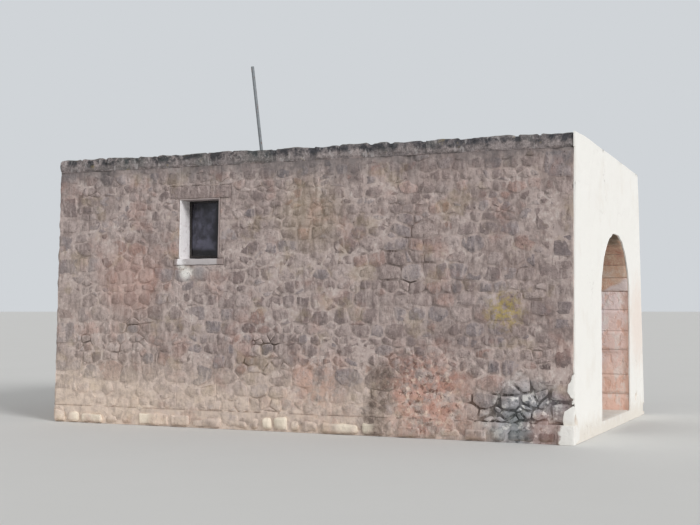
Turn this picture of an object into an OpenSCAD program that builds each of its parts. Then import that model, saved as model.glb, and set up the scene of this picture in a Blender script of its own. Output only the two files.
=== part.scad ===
// Flat-roofed rubble-stone field house with a barrel vault and a plastered arched end wall.
// Millimetres. Z is up, ground level is z = 0, +X points to the arched end and
// the window is in the long wall on the -Y side. The origin is the middle of the footprint.

/* [Building] */
// Overall length from the far footing to the plastered face
length = 7360; // [6800:20:8000]
// Overall width over both footings at ground level
width = 4460; // [4300:20:4700]
// Height of the front wall top above the ground
front_h = 3650; // [3600:10:3800]
// How far the wall tops fall from front to rear
roof_fall = 150; // [80:10:200]
// Height at which the vault and the doorway arch spring
spring_z = 1800; // [1760:10:1820]

/* [Walls] */
// Thickness of the front wall at its foot
front_t = 720; // [680:10:760]
// Thickness of the rear wall at its foot
rear_t = 750; // [720:10:800]
// Thickness of the arched end wall
arch_end_t = 560; // [450:10:650]
// Thickness of the far end wall
far_end_t = 640; // [500:10:750]
// How far the front face leans back over its height
front_batter = 120; // [40:10:160]
// How far the rear face leans in over its height
rear_batter = 380; // [200:10:400]
// Greatest projection of the footing stones
footing_out = 45; // [25:5:60]
// Height of the footing course
footing_h = 230; // [180:10:280]
// Depth of the footing stones into the wall
footing_d = 260; // [200:10:300]

/* [Doorway] */
// Clear width of the doorway
door_w = 1800; // [1600:10:1850]
// Offset of the doorway's middle from the middle of the footprint
door_y = 210; // [180:10:230]
// Rise of the doorway arch above its springing
arch_rise = 750; // [700:10:850]
// Height of the threshold above the ground
threshold_h = 150; // [120:10:200]
// Radial depth of the arch stones
arch_ring_t = 260; // [220:10:280]
// Number of arch stones
arch_stones = 13; // [11:2:17]
// Width of the jamb stones in the wall's face
jamb_w = 325; // [300:5:325]
// Height of the foot block of each jamb above the threshold
jamb_foot_h = 210; // [150:10:300]

/* [Plaster] */
// Thickness of the lime plaster on the arched end
plaster_t = 25; // [15:1:35]
// Width of the plaster turned round the near corner at its widest
return_w = 130; // [100:5:200]
// Height of the plaster turned round the near corner
return_h = 650; // [600:10:1000]

/* [Window] */
// Width of the window opening
window_w = 610; // [560:10:650]
// Height of the window opening
window_h = 800; // [740:10:810]
// Height of the window opening's foot above the ground
window_z = 2230; // [2210:10:2240]
// Distance from the far end of the building to the window
window_from_end = 2010; // [1700:10:2400]
// Depth of the window frame behind the wall face
reveal_d = 250; // [200:10:300]
// Width of the window frame members
frame_w = 45; // [35:1:60]
// Thickness of the window frame
frame_t = 50; // [40:1:70]

/* [Vault] */
// Thickness of the vault at its crown
vault_t = 160; // [130:5:165]
// Height to which the vault is solid against the walls
haunch_top = 2500; // [2400:10:2600]
// Clear width of the window's passage through the vault
lunette_w = 700; // [660:10:720]
// Thickness of the stone lining of that passage
lining_t = 100; // [80:5:110]

/* [Roof] */
// Height of the front coping course
coping_h = 190; // [150:5:220]
// Projection of the coping over the wall
coping_out = 20; // [10:5:40]
// Height of the end copings
end_coping_h = 150; // [120:5:180]
// Height of the kerb above the paving
kerb_h = 90; // [70:5:100]
// Thickness of the roof paving
paving_t = 60; // [50:5:60]
// Thickness of the floor paving above ground level
floor_t = 130; // [100:5:145]

/* [Pole] */
// Diameter of the pole on the roof
pole_d = 42; // [30:1:60]
// Height of the pole above the roof
pole_h = 1300; // [900:10:1400]
// Lean of the pole towards the far end
pole_lean = 7; // [0:0.5:10]
// Distance of the pole from the far end
pole_from_end = 2905; // [2700:5:4400]

/* [Hidden] */
$fn = 240;

// How far cutting shapes pass the faces they cut, and how far joined outlines overlap
over = 10;
overlap = 1;

// Faces along X: plaster face, masonry face and room face of the arched end, then the far end
x_plaster = length / 2;
x_arch = x_plaster - plaster_t;
x_room_arch = x_arch - arch_end_t;
x_far = -length / 2 + footing_out;
x_room_far = x_far + far_end_t;
room_l = x_room_arch - x_room_far;

// Faces along Y at the foot of the walls, and the room between them
y_front = -width / 2 + footing_out;
y_rear = width / 2 - footing_out;
y_room_front = y_front + front_t;
y_room_rear = y_rear - rear_t;
vault_r = (y_room_rear - y_room_front) / 2;
vault_y = (y_room_rear + y_room_front) / 2;
y_back_front = y_room_front - vault_t;
y_back_rear = y_room_rear + vault_t;

// Levels of the roof: the kerb line falls from the front coping to the rear face
front_top = front_h - coping_h;
rear_eave = y_rear - rear_batter;
function kerb_z(y) = front_h - roof_fall * (y - y_back_front) / (rear_eave - y_back_front);
rear_coping_top = kerb_z(y_back_rear) - kerb_h;
rear_coping_h = 150;
rear_top = rear_coping_top - rear_coping_h;

// Faces of the battered long walls at a height
function front_y(z) = y_front + front_batter * z / front_h;
function rear_y(z) = y_rear - rear_batter * z / front_h;
front_lean = atan(front_batter / front_h);

// Doorway: arc through both springings and the crown
door_near = door_y - door_w / 2;
door_far = door_y + door_w / 2;
arch_r = (pow(door_w / 2, 2) + pow(arch_rise, 2)) / (2 * arch_rise);
arch_z = spring_z + arch_rise - arch_r;
arch_spread = asin(door_w / 2 / arch_r);
joint_w = 8;
joint_d = 14;

// Window: its middle along X, and the stones round it
window_x = -length / 2 + window_from_end + window_w / 2;
window_left = window_x - window_w / 2;
window_right = window_x + window_w / 2;
window_top = window_z + window_h;
lintel_h = 170;
lintel_bearing = 160;
lintel_d = 300;
sill_t = 90;
sill_over = 70;
sill_out = 15;
lining_plaster_t = 18;
glass_t = 6;
lunette_spring = 2700;

// A small repeatable spread of values from 0 to 1 for block lengths and projections
function spread(i, salt) = abs(sin(i * 127.1 + salt * 311.7)) % 1;

// Profile in Y and Z drawn along X between two faces
module along_x(x0, x1) {
    translate([x0, 0, 0])
        rotate([90, 0, 90])
            linear_extrude(height = x1 - x0)
                children();
}

// Profile in X and Z drawn along Y between two faces
module along_y(y0, y1) {
    translate([0, y1, 0])
        rotate([90, 0, 0])
            linear_extrude(height = y1 - y0)
                children();
}

// Box between two corners
module block(low, high) {
    translate(low)
        cube(high - low);
}

// Section of the front wall: battered face, ledge for the vault, seat for the footing
module front_section(z0 = 0, z1 = front_top) {
    intersection() {
        polygon([
            [y_front + footing_d, 0], [y_room_front, 0], [y_room_front, spring_z],
            [y_back_front, spring_z], [y_back_front, front_top],
            [front_y(front_top), front_top], [front_y(footing_h), footing_h],
            [y_front + footing_d, footing_h]
        ]);
        translate([-width, z0])
            square([2 * width, z1 - z0]);
    }
}

// Section of the rear wall, thinner towards the eaves
module rear_section() {
    polygon([
        [y_rear - footing_d, 0], [y_room_rear, 0], [y_room_rear, spring_z],
        [y_back_rear, spring_z], [y_back_rear, rear_top],
        [rear_y(rear_top), rear_top], [rear_y(footing_h), footing_h],
        [y_rear - footing_d, footing_h]
    ]);
}

// Seats for the lintel and the sill of the window
module window_seats() {
    block([window_left - lintel_bearing, y_front - over, window_top],
        [window_right + lintel_bearing, front_y(window_top) + lintel_d, window_top + lintel_h]);
    block([window_left - sill_over, y_front - over, window_z - sill_t],
        [window_right + sill_over, front_y(window_z) + reveal_d + frame_t, window_z]);
}

module front_wall_near() {
    color([0.60, 0.55, 0.51])
        difference() {
            along_x(window_right, x_arch)
                front_section();
            window_seats();
        }
}

module front_wall_far() {
    color([0.60, 0.55, 0.51])
        difference() {
            along_x(x_far, window_left)
                front_section();
            window_seats();
        }
}

module front_wall_below_window() {
    color([0.60, 0.55, 0.51])
        difference() {
            along_x(window_left, window_right)
                front_section(0, window_z);
            window_seats();
        }
}

module front_wall_above_window() {
    color([0.60, 0.55, 0.51])
        difference() {
            along_x(window_left, window_right)
                front_section(window_top, front_top);
            window_seats();
        }
}

module window_lintel() {
    color([0.66, 0.61, 0.55])
        along_x(window_left - lintel_bearing, window_right + lintel_bearing)
            polygon([
                [front_y(window_top), window_top],
                [front_y(window_top) + lintel_d, window_top],
                [front_y(window_top) + lintel_d, window_top + lintel_h],
                [front_y(window_top + lintel_h), window_top + lintel_h]
            ]);
}

module window_sill() {
    color([0.84, 0.82, 0.80])
        block([window_left - sill_over, front_y(window_z) - sill_out, window_z - sill_t],
            [window_right + sill_over, front_y(window_z) + reveal_d + frame_t, window_z]);
}

// Lime plaster on the two cheeks and the head of the outer reveal
module window_reveal_plaster() {
    frame_y = front_y(window_z) + reveal_d;
    color([0.90, 0.89, 0.87])
        difference() {
            along_x(window_left, window_right)
                polygon([
                    [front_y(window_z), window_z], [frame_y, window_z],
                    [frame_y, window_top], [front_y(window_top), window_top]
                ]);
            block([window_left + lining_plaster_t, y_front - over, window_z - over],
                [window_right - lining_plaster_t, frame_y + over, window_top - lining_plaster_t]);
        }
}

module window_frame() {
    frame_y = front_y(window_z) + reveal_d;
    color([0.16, 0.14, 0.13])
        difference() {
            block([window_left, frame_y, window_z], [window_right, frame_y + frame_t, window_top]);
            block([window_left + frame_w, frame_y - over, window_z + frame_w],
                [window_right - frame_w, frame_y + frame_t + over, window_top - frame_w]);
        }
}

module window_glass() {
    pane_y = front_y(window_z) + reveal_d + frame_t / 2;
    color([0.30, 0.32, 0.38])
        block([window_left + frame_w, pane_y - glass_t / 2, window_z + frame_w],
            [window_right - frame_w, pane_y + glass_t / 2, window_top - frame_w]);
}

// Arched outline of the passage through the vault, wider than the window by a margin
module lunette_outline(margin) {
    half = lunette_w / 2 + margin;
    translate([window_x - half, window_z - margin])
        square([2 * half, lunette_spring - window_z + margin]);
    intersection() {
        translate([window_x, lunette_spring])
            circle(r = half);
        translate([window_x - half, lunette_spring - overlap])
            square([2 * half, half + 2 * overlap]);
    }
}

// Room side of the vault as one half-round body
module vault_room() {
    translate([x_room_far - overlap, vault_y, spring_z])
        rotate([0, 90, 0])
            cylinder(r = vault_r, h = room_l + 2 * overlap);
}

module window_lunette() {
    color([0.80, 0.76, 0.70])
        difference() {
            along_y(y_back_front, vault_y)
                difference() {
                    lunette_outline(lining_t);
                    lunette_outline(0);
                }
            vault_room();
        }
}

// Passage and lining taken out of the vault and its fill
module lunette_cut() {
    along_y(y_back_front - over, vault_y)
        lunette_outline(lining_t);
}

module rear_wall() {
    color([0.60, 0.55, 0.51])
        along_x(x_far, x_arch)
            rear_section();
}

module far_end_wall() {
    color([0.60, 0.55, 0.51])
        difference() {
            block([x_far, y_room_front, 0], [x_room_far, y_room_rear, spring_z]);
            block([x_far - over, y_room_front - over, -over],
                [x_far + footing_d, y_room_rear + over, footing_h]);
        }
}

// Upper part of an end wall, up to the sloping bed of its coping
module gable_outline() {
    polygon([
        [y_back_front, spring_z], [y_back_rear, spring_z],
        [y_back_rear, kerb_z(y_back_rear) - end_coping_h],
        [y_back_front, kerb_z(y_back_front) - end_coping_h]
    ]);
}

module far_end_gable() {
    color([0.60, 0.55, 0.51])
        along_x(x_far, x_room_far)
            gable_outline();
}

module arch_end_pier() {
    color([0.66, 0.61, 0.55])
        block([x_room_arch, y_room_front, 0], [x_arch, door_near - jamb_w, spring_z]);
}

// Head of the arched end: the wall over the arch, cut to the backs of its stones
module arch_end_head() {
    color([0.66, 0.61, 0.55])
        along_x(x_room_arch, x_arch)
            difference() {
                gable_outline();
                translate([door_y, arch_z])
                    circle(r = arch_r + arch_ring_t);
            }
}

// Tops of the jamb's blocks above the threshold, in heights of its foot block
jamb_courses = [1, 2.3, 3.9, 5.2, 6.6];

// One jamb: squared blocks with raked bed joints on the reveal
module jamb(y0, y1, reveal) {
    difference() {
        block([x_room_arch, y0, 0], [x_arch, y1, spring_z]);
        for (course = jamb_courses) {
            z = threshold_h + course * jamb_foot_h;
            block([x_room_arch - over, reveal - joint_d, z - joint_w / 2],
                [x_arch + over, reveal + joint_d, z + joint_w / 2]);
        }
    }
}

module doorway_near_jamb() {
    color([0.80, 0.74, 0.69])
        jamb(door_near - jamb_w, door_near, door_near);
}

module doorway_far_jamb() {
    color([0.80, 0.74, 0.69])
        jamb(door_far, y_room_rear, door_far);
}

// Arch ring in dressed wedge-shaped stones, with raked radial joints
module doorway_arch() {
    step = 2 * arch_spread / arch_stones;
    color([0.55, 0.47, 0.39])
        along_x(x_room_arch, x_arch)
            difference() {
                intersection() {
                    translate([door_y, arch_z])
                        difference() {
                            circle(r = arch_r + arch_ring_t);
                            circle(r = arch_r);
                        }
                    translate([door_y - width / 2, spring_z])
                        square([width, 2 * arch_r]);
                }
                for (i = [1 : arch_stones - 1])
                    translate([door_y, arch_z])
                        rotate(arch_spread - i * step)
                            translate([-joint_w / 2, 0])
                                square([joint_w, arch_r + joint_d]);
            }
}

module doorway_threshold() {
    color([0.82, 0.79, 0.75])
        block([x_room_arch, door_near, 0], [x_arch, door_far, threshold_h]);
}

// Outline of the doorway in the wall's face
module doorway_outline() {
    translate([door_near, threshold_h])
        square([door_w, spring_z - threshold_h]);
    intersection() {
        translate([door_y, arch_z])
            circle(r = arch_r);
        translate([door_near, spring_z - overlap])
            square([door_w, arch_rise + 2 * overlap]);
    }
}

// Lime plaster over the whole arched end, from the ground to the kerb line
module arch_end_plaster() {
    color([0.95, 0.94, 0.91])
        along_x(x_arch, x_plaster)
            difference() {
                polygon([
                    [y_front, 0], [y_rear, 0], [rear_y(rear_top), rear_top],
                    [rear_eave, kerb_z(rear_eave)], [y_back_front, front_h],
                    [front_y(front_top) - coping_out, front_h],
                    [front_y(front_top) - coping_out, front_top],
                    [front_y(front_top), front_top]
                ]);
                doorway_outline();
            }
}

// Ragged tongue of the same plaster turned round the near corner onto the long wall, with a
// notch where a piece has come away
module plaster_corner_return() {
    color([0.93, 0.92, 0.89])
        translate([x_arch, front_y(footing_h), footing_h])
            rotate([90 - front_lean, 0, 0])
                linear_extrude(height = plaster_t * 0.7)
                    polygon([
                        [0, 0], [-0.88 * return_w, 0], [-1.00 * return_w, 0.08 * return_h],
                        [-0.85 * return_w, 0.24 * return_h], [-0.42 * return_w, 0.30 * return_h],
                        [-0.14 * return_w, 0.34 * return_h], [-0.12 * return_w, 0.46 * return_h],
                        [-0.40 * return_w, 0.53 * return_h], [-0.62 * return_w, 0.60 * return_h],
                        [-0.50 * return_w, 0.72 * return_h], [-0.22 * return_w, 0.82 * return_h],
                        [0, return_h]
                    ]);
}

// Row of stones: a list of block ends along the row, each up to a share longer or shorter
length_share = 0.28;
function block_ends(from, to, mean, salt, i = 0) =
    let(next = from + mean * (1 - length_share + 2 * length_share * spread(i, salt)))
    next > to - 0.5 * mean ? [[from, to]] :
    concat([[from, next]], block_ends(next, to, mean, salt, i + 1));

footing_mean = 430;
footing_gap = 10;

// How far a footing stone stands out of the wall: every few stones one stands out fully
function footing_reach(i, salt, proudest) =
    footing_out * (proudest ? 1 : 0.3 + 0.6 * spread(i, salt));

module front_footing() {
    ends = block_ends(x_far, x_arch, footing_mean, 3);
    color([0.71, 0.66, 0.59])
        for (i = [0 : len(ends) - 1])
            block([ends[i][0] + footing_gap / 2,
                y_front - footing_reach(i, 5, i % 4 == 1), 0],
                [ends[i][1] - footing_gap / 2, y_front + footing_d, footing_h]);
}

module rear_footing() {
    ends = block_ends(x_far, x_arch, footing_mean, 8);
    color([0.71, 0.66, 0.59])
        for (i = [0 : len(ends) - 1])
            block([ends[i][0] + footing_gap / 2, y_rear - footing_d, 0],
                [ends[i][1] - footing_gap / 2,
                y_rear + footing_reach(i, 9, i % 4 == 2), footing_h]);
}

module far_end_footing() {
    ends = block_ends(y_front + footing_d + footing_gap, y_rear - footing_d - footing_gap,
        footing_mean, 14);
    color([0.71, 0.66, 0.59])
        for (i = [0 : len(ends) - 1])
            block([x_far - footing_reach(i, 4, i % 3 == 1),
                ends[i][0] + footing_gap / 2, 0],
                [x_far + footing_d, ends[i][1] - footing_gap / 2, footing_h]);
}

coping_mean = 620;
coping_gap = 10;

module front_coping() {
    ends = block_ends(x_far - coping_out, x_arch, coping_mean, 21);
    color([0.33, 0.31, 0.29])
        for (i = [0 : len(ends) - 1])
            block([ends[i][0] + coping_gap / 2, front_y(front_top) - coping_out, front_top],
                [ends[i][1] - coping_gap / 2, y_back_front, front_h]);
}

module rear_coping() {
    ends = block_ends(x_room_far, x_room_arch, coping_mean, 27);
    color([0.36, 0.34, 0.31])
        for (i = [0 : len(ends) - 1])
            block([ends[i][0] + coping_gap / 2, y_back_rear, rear_top],
                [ends[i][1] - coping_gap / 2, rear_y(rear_top) + coping_out, rear_coping_top]);
}

// Coping of an end wall: it falls with the roof and turns down over the rear corner
module end_coping_outline() {
    polygon([
        [y_back_front, kerb_z(y_back_front) - end_coping_h],
        [y_back_rear, kerb_z(y_back_rear) - end_coping_h],
        [y_back_rear, rear_top], [rear_y(rear_top), rear_top],
        [rear_eave, kerb_z(rear_eave)], [y_back_front, kerb_z(y_back_front)]
    ]);
}

module far_end_coping() {
    color([0.33, 0.31, 0.29])
        along_x(x_far - coping_out, x_room_far)
            end_coping_outline();
}

module arch_end_coping() {
    color([0.90, 0.89, 0.86])
        along_x(x_room_arch, x_arch)
            end_coping_outline();
}

// Lower part of the barrel vault, solid back to the wall, on one side
module haunch(y0, y1) {
    difference() {
        block([x_room_far, y0, spring_z], [x_room_arch, y1, haunch_top]);
        vault_room();
    }
}

module vault_front_haunch() {
    color([0.84, 0.80, 0.74])
        difference() {
            haunch(y_back_front, vault_y);
            lunette_cut();
        }
}

module vault_rear_haunch() {
    color([0.84, 0.80, 0.74])
        haunch(vault_y, y_back_rear);
}

// Crown of the barrel vault, an even shell above the haunches
module vault_crown() {
    color([0.84, 0.80, 0.74])
        difference() {
            along_x(x_room_far, x_room_arch)
                intersection() {
                    translate([vault_y, spring_z])
                        circle(r = vault_r + vault_t);
                    translate([-width, haunch_top])
                        square([2 * width, vault_r + vault_t]);
                }
            vault_room();
            lunette_cut();
        }
}

// Rubble fill between the vault and the bed of the roof paving
module roof_fill() {
    color([0.62, 0.58, 0.52])
        difference() {
            along_x(x_room_far, x_room_arch)
                difference() {
                    polygon([
                        [y_back_front, haunch_top], [y_back_rear, haunch_top],
                        [y_back_rear, kerb_z(y_back_rear) - kerb_h - paving_t],
                        [y_back_front, kerb_z(y_back_front) - kerb_h - paving_t]
                    ]);
                    translate([vault_y, spring_z])
                        circle(r = vault_r + vault_t);
                }
            lunette_cut();
        }
}

// Stone paving of the flat roof, falling to the rear
module roof_paving() {
    color([0.66, 0.63, 0.57])
        along_x(x_room_far, x_room_arch)
            polygon([
                [y_back_front, kerb_z(y_back_front) - kerb_h - paving_t],
                [y_back_rear, kerb_z(y_back_rear) - kerb_h - paving_t],
                [y_back_rear, kerb_z(y_back_rear) - kerb_h],
                [y_back_front, kerb_z(y_back_front) - kerb_h]
            ]);
}

module floor_paving() {
    color([0.70, 0.65, 0.58])
        block([x_room_far, y_room_front, 0], [x_room_arch, y_room_rear, floor_t]);
}

pole_from_edge = 200;
pole_x = -length / 2 + pole_from_end;
pole_y = y_back_front + pole_from_edge;
socket_w = 240;
socket_h = 150;
pole_bed = 30;

// Stone block bedded on the paving, with a round hole for the pole
module pole_socket() {
    base_z = kerb_z(pole_y + socket_w / 2) - kerb_h;
    color([0.66, 0.62, 0.56])
        difference() {
            along_x(pole_x - socket_w / 2, pole_x + socket_w / 2)
                polygon([
                    [pole_y - socket_w / 2, kerb_z(pole_y - socket_w / 2) - kerb_h],
                    [pole_y + socket_w / 2, base_z],
                    [pole_y + socket_w / 2, base_z + socket_h],
                    [pole_y - socket_w / 2, base_z + socket_h]
                ]);
            pole_shaft();
        }
}

// The leaning round shaft from its seat in the socket
module pole_shaft() {
    translate([pole_x, pole_y, kerb_z(pole_y) - kerb_h + pole_bed])
        rotate([0, -pole_lean, 0])
            cylinder(d = pole_d, h = pole_h);
}

module roof_pole() {
    color([0.62, 0.63, 0.64])
        pole_shaft();
}

front_wall_near();
front_wall_far();
front_wall_below_window();
front_wall_above_window();
window_lintel();
window_sill();
window_reveal_plaster();
window_frame();
window_glass();
window_lunette();
rear_wall();
far_end_wall();
far_end_gable();
arch_end_pier();
arch_end_head();
doorway_near_jamb();
doorway_far_jamb();
doorway_arch();
doorway_threshold();
arch_end_plaster();
plaster_corner_return();
front_footing();
rear_footing();
far_end_footing();
front_coping();
rear_coping();
far_end_coping();
arch_end_coping();
vault_front_haunch();
vault_rear_haunch();
vault_crown();
roof_fill();
roof_paving();
floor_paving();
roof_pole();
pole_socket();
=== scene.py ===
"""Looks of a flat-roofed stone field house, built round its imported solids.

Rubble walls are laid stone by stone on their battered faces, the arched end has a coat of lime
plaster, and the roof, floor, arch and copings are made of separate worn stones. Metres, Z up.
"""

import math
import random

import bmesh
import bpy
from mathutils import Matrix, Vector, kdtree, noise


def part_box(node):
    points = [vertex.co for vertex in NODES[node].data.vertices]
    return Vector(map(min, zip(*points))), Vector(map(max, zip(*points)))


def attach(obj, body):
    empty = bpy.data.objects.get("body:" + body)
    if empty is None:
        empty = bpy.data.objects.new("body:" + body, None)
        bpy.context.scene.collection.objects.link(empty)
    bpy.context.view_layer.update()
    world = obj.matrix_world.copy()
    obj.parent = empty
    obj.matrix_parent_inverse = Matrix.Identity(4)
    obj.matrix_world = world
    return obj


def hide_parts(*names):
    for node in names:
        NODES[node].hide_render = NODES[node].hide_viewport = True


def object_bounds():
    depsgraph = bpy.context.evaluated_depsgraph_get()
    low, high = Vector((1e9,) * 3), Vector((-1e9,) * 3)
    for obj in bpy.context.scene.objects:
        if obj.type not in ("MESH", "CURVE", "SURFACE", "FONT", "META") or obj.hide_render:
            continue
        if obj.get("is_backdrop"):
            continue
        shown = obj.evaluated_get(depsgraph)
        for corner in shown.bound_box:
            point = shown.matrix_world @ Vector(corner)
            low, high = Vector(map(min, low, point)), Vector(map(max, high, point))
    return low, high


bl_info = {
    "name": "Vaulted field house",
    "version": (1, 0, 0),
    "blender": (4, 5, 0),
    "location": "3D View > Sidebar > Field House",
    "description": "Builds the stonework, plaster, joinery and roof of a flat-roofed field house",
    "category": "Add Mesh",
}

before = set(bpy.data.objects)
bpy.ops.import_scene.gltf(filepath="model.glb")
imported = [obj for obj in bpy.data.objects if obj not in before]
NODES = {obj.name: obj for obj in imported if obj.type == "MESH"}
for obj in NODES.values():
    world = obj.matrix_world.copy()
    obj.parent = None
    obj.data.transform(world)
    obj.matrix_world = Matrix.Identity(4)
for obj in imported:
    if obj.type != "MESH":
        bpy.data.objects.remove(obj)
CAD_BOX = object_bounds()
UP = Vector((0, 0, 1))


def lowest(node):
    """Lowest corner of a solid of the frame."""
    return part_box(node)[0]


def highest(node):
    """Highest corner of a solid of the frame."""
    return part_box(node)[1]


# Faces and levels of the walls, all read from the frame
X_FAR = lowest("rear_wall").x
X_ARCH = highest("rear_wall").x
X_PLASTER = highest("arch_end_plaster").x
FRONT_Y = lowest("arch_end_plaster").y
REAR_Y = highest("arch_end_plaster").y
FOOTING_TOP = highest("front_footing").z
FRONT_TOP = highest("front_wall_near").z
REAR_TOP = highest("rear_wall").z
FRONT_LEAN = (lowest("window_lintel").y - FRONT_Y) / lowest("window_lintel").z
REAR_LEAN = (REAR_Y - highest("far_end_coping").y) / lowest("far_end_coping").z
PAVING_LOW, PAVING_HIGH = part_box("roof_paving")
ROOF_FALL = (PAVING_HIGH.z - highest("rear_coping").z) / (PAVING_HIGH.y - PAVING_LOW.y)

# Doorway: its sides, springing, and the radius and middle of its arch
DOOR_NEAR, DOOR_FAR = lowest("doorway_threshold").y, highest("doorway_threshold").y
DOOR_MIDDLE = (DOOR_NEAR + DOOR_FAR) / 2
SPRINGING = lowest("doorway_arch").z
RING_TOP = highest("doorway_arch").z
THRESHOLD_TOP = highest("doorway_threshold").z
CROWN = max(v.co.z for v in NODES["doorway_arch"].data.vertices
            if abs(v.co.y - DOOR_MIDDLE) < 0.02 and v.co.z < RING_TOP - 0.1)
DOOR_HALF = (DOOR_FAR - DOOR_NEAR) / 2
ARCH_RADIUS = (DOOR_HALF ** 2 + (CROWN - SPRINGING) ** 2) / (2 * (CROWN - SPRINGING))
ARCH_LEVEL = CROWN - ARCH_RADIUS


def front_y(z):
    """Where the leaning front face stands at a height."""
    return FRONT_Y + FRONT_LEAN * z


def rear_y(z):
    """Where the leaning rear face stands at a height."""
    return REAR_Y - REAR_LEAN * z


def roof_z(y):
    """Height of the sloping roof surface at a distance across the house."""
    return PAVING_HIGH.z - ROOF_FALL * (y - PAVING_LOW.y)


def srgb(red, green, blue):
    """A colour given as it looks on screen, 0 to 255, as linear values with full cover."""
    shares = [value / 255 for value in (red, green, blue)]
    return tuple(s / 12.92 if s <= 0.04045 else ((s + 0.055) / 1.055) ** 2.4 for s in shares) + (1.0,)


def length_prop(name, description, default):
    """A size that a user may change, in metres."""
    return bpy.props.FloatProperty(name=name, description=description, default=default, min=0.0,
                                   unit="LENGTH", precision=4)


def colour_prop(name, description, red, green, blue):
    """A colour that a user may change, given as it looks on screen."""
    return bpy.props.FloatVectorProperty(name=name, description=description, subtype="COLOR", size=4,
                                         min=0.0, max=1.0, default=srgb(red, green, blue))


class HouseSizes(bpy.types.PropertyGroup):
    """Sizes of the stones, joints and coats that finish the house."""

    course: length_prop("Course height", "Mean height of a rough course of rubble", 0.15)
    foot_course: length_prop("Foot course height", "Mean height of the lowest courses", 0.20)
    foot_band: length_prop("Foot band", "Height up to which the larger stones are laid", 0.62)
    wander: length_prop("Course wander", "How far a rough course rises and falls", 0.07)
    joint: length_prop("Joint", "Half of the joint between two stones", 0.0075)
    stone_depth: length_prop("Stone depth", "How far a face stone reaches into the wall", 0.055)
    arris: length_prop("Worn arris", "Width of the rounded edge of a stone", 0.012)
    bulge: length_prop("Bulge", "How uneven the face of a stone is", 0.014)
    stand_out: length_prop("Stand-out", "How far the proudest stones pass the wall's plane", 0.006)
    bed_back: length_prop("Mortar set-back", "Least depth of the mortar behind the wall's plane", 0.004)
    bed_uneven: length_prop("Uneven mortar", "How far the face of the mortar wanders", 0.011)
    bed_wash: length_prop("Washed-out depth", "Extra depth where mortar has been washed out", 0.022)
    quoin_long: length_prop("Long corner stone", "Length of the long corner stones", 0.44)
    quoin_short: length_prop("Short corner stone", "Length of the short corner stones", 0.25)
    flag: length_prop("Roof flag", "Mean length of the roof flags", 0.48)
    floor_flag: length_prop("Floor flag", "Mean length of the floor flags", 0.55)


class HouseColours(bpy.types.PropertyGroup):
    """Colours of the stones, coats, joinery and metal."""

    stone_dark: colour_prop("Dark stone", "Darkest rubble stones", 118, 104, 102)
    stone_mid: colour_prop("Mid stone", "Most of the rubble", 152, 136, 132)
    stone_pale: colour_prop("Pale stone", "Palest rubble stones", 197, 181, 176)
    stone_red: colour_prop("Red stone", "Earth-stained stones", 186, 142, 126)
    stone_blue: colour_prop("Cool stone", "Blue-grey stones", 136, 134, 141)
    mortar: colour_prop("Mortar", "Weathered lime mortar", 197, 181, 175)
    mortar_earthy: colour_prop("Earthy mortar", "Mortar with more earth than lime", 158, 142, 137)
    # The washed-out joint colour stands for earth in the open joints and, where the mortar bed is deep,
    # for painted shade too.
    mortar_deep: colour_prop("Washed-out joint", "Earth in the open joints", 84, 73, 67)
    foot_wash: colour_prop("Pale foot", "Splashed and bleached foot of the walls", 240, 220, 202)
    earth: colour_prop("Earth stain", "Red earth splashed on the wall", 210, 152, 132)
    earth_deep: colour_prop("Dark earth", "Brown film on the near half of the wall", 124, 80, 62)
    lichen: colour_prop("Dark lichen", "Growth along the wall top", 98, 96, 98)
    moss: colour_prop("Moss", "Yellow-green growth", 178, 158, 96)
    plaster: colour_prop("Lime plaster", "Plaster of the arched end", 248, 246, 241)
    plaster_soil: colour_prop("Soiled plaster", "Splashed and rain-washed plaster", 218, 206, 190)
    plaster_blush: colour_prop("Blushed plaster", "Earth tinge beside the doorway", 240, 222, 210)
    limewash: colour_prop("Limewash", "Wash on the jambs and the room", 238, 217, 208)
    # Warm wash: an earth stain on the room's walls; on the jambs partly an earth stain and partly painted
    # warm light bounced from the ground.
    warm_wash_stain_and_glow: colour_prop("Stained limewash", "Earth stain on the jambs", 255, 214, 194)
    smoke: colour_prop("Smoked stone", "Browned soffit of the arch", 234, 196, 174)
    flagstone: colour_prop("Flagstone", "Roof and floor flags", 172, 163, 148)
    footing: colour_prop("Footing stone", "Pale stones along the ground", 208, 190, 174)
    frame_paint: colour_prop("Window paint", "Dark paint of the window frame", 40, 35, 35)
    pane: colour_prop("Dusty pane", "Glass with a film of dust", 70, 70, 82)
    pole: colour_prop("Pole paint", "Grey paint of the roof pole", 128, 133, 137)
    rust: colour_prop("Rust", "Rust through the paint", 118, 72, 46)


class HouseStage(bpy.types.PropertyGroup):
    """Where the camera and the lights stand."""

    eye: bpy.props.FloatVectorProperty(name="Eye", description="Place of the camera",
                                       default=(7.0, -16.15, 1.64), unit="LENGTH")
    aim: bpy.props.FloatVectorProperty(name="Aim", description="Point that the camera looks at",
                                       default=(-0.08, -0.05, 2.22), unit="LENGTH")
    lens: bpy.props.FloatProperty(name="Lens", description="Focal length", default=63.0,
                                  unit="CAMERA")
    key: bpy.props.FloatProperty(name="Key light", description="Strength of the soft key light",
                                 default=1.62, min=0.0)
    sky: bpy.props.FloatProperty(name="Sky light", description="Strength of the even light",
                                 default=0.5, min=0.0)
    fill: bpy.props.FloatProperty(name="Fill light", description="Strength of the light by the eye",
                                  default=0.25, min=0.0)
    floor: colour_prop("Floor", "Plain pale floor", 216, 216, 214)
    backdrop: colour_prop("Backdrop", "Background behind the house", 208, 212, 216)


def sizes():
    """The sizes chosen in the sidebar."""
    return bpy.context.scene.house_sizes


def colours():
    """The colours chosen in the sidebar."""
    return bpy.context.scene.house_colours


# Meshes

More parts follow.
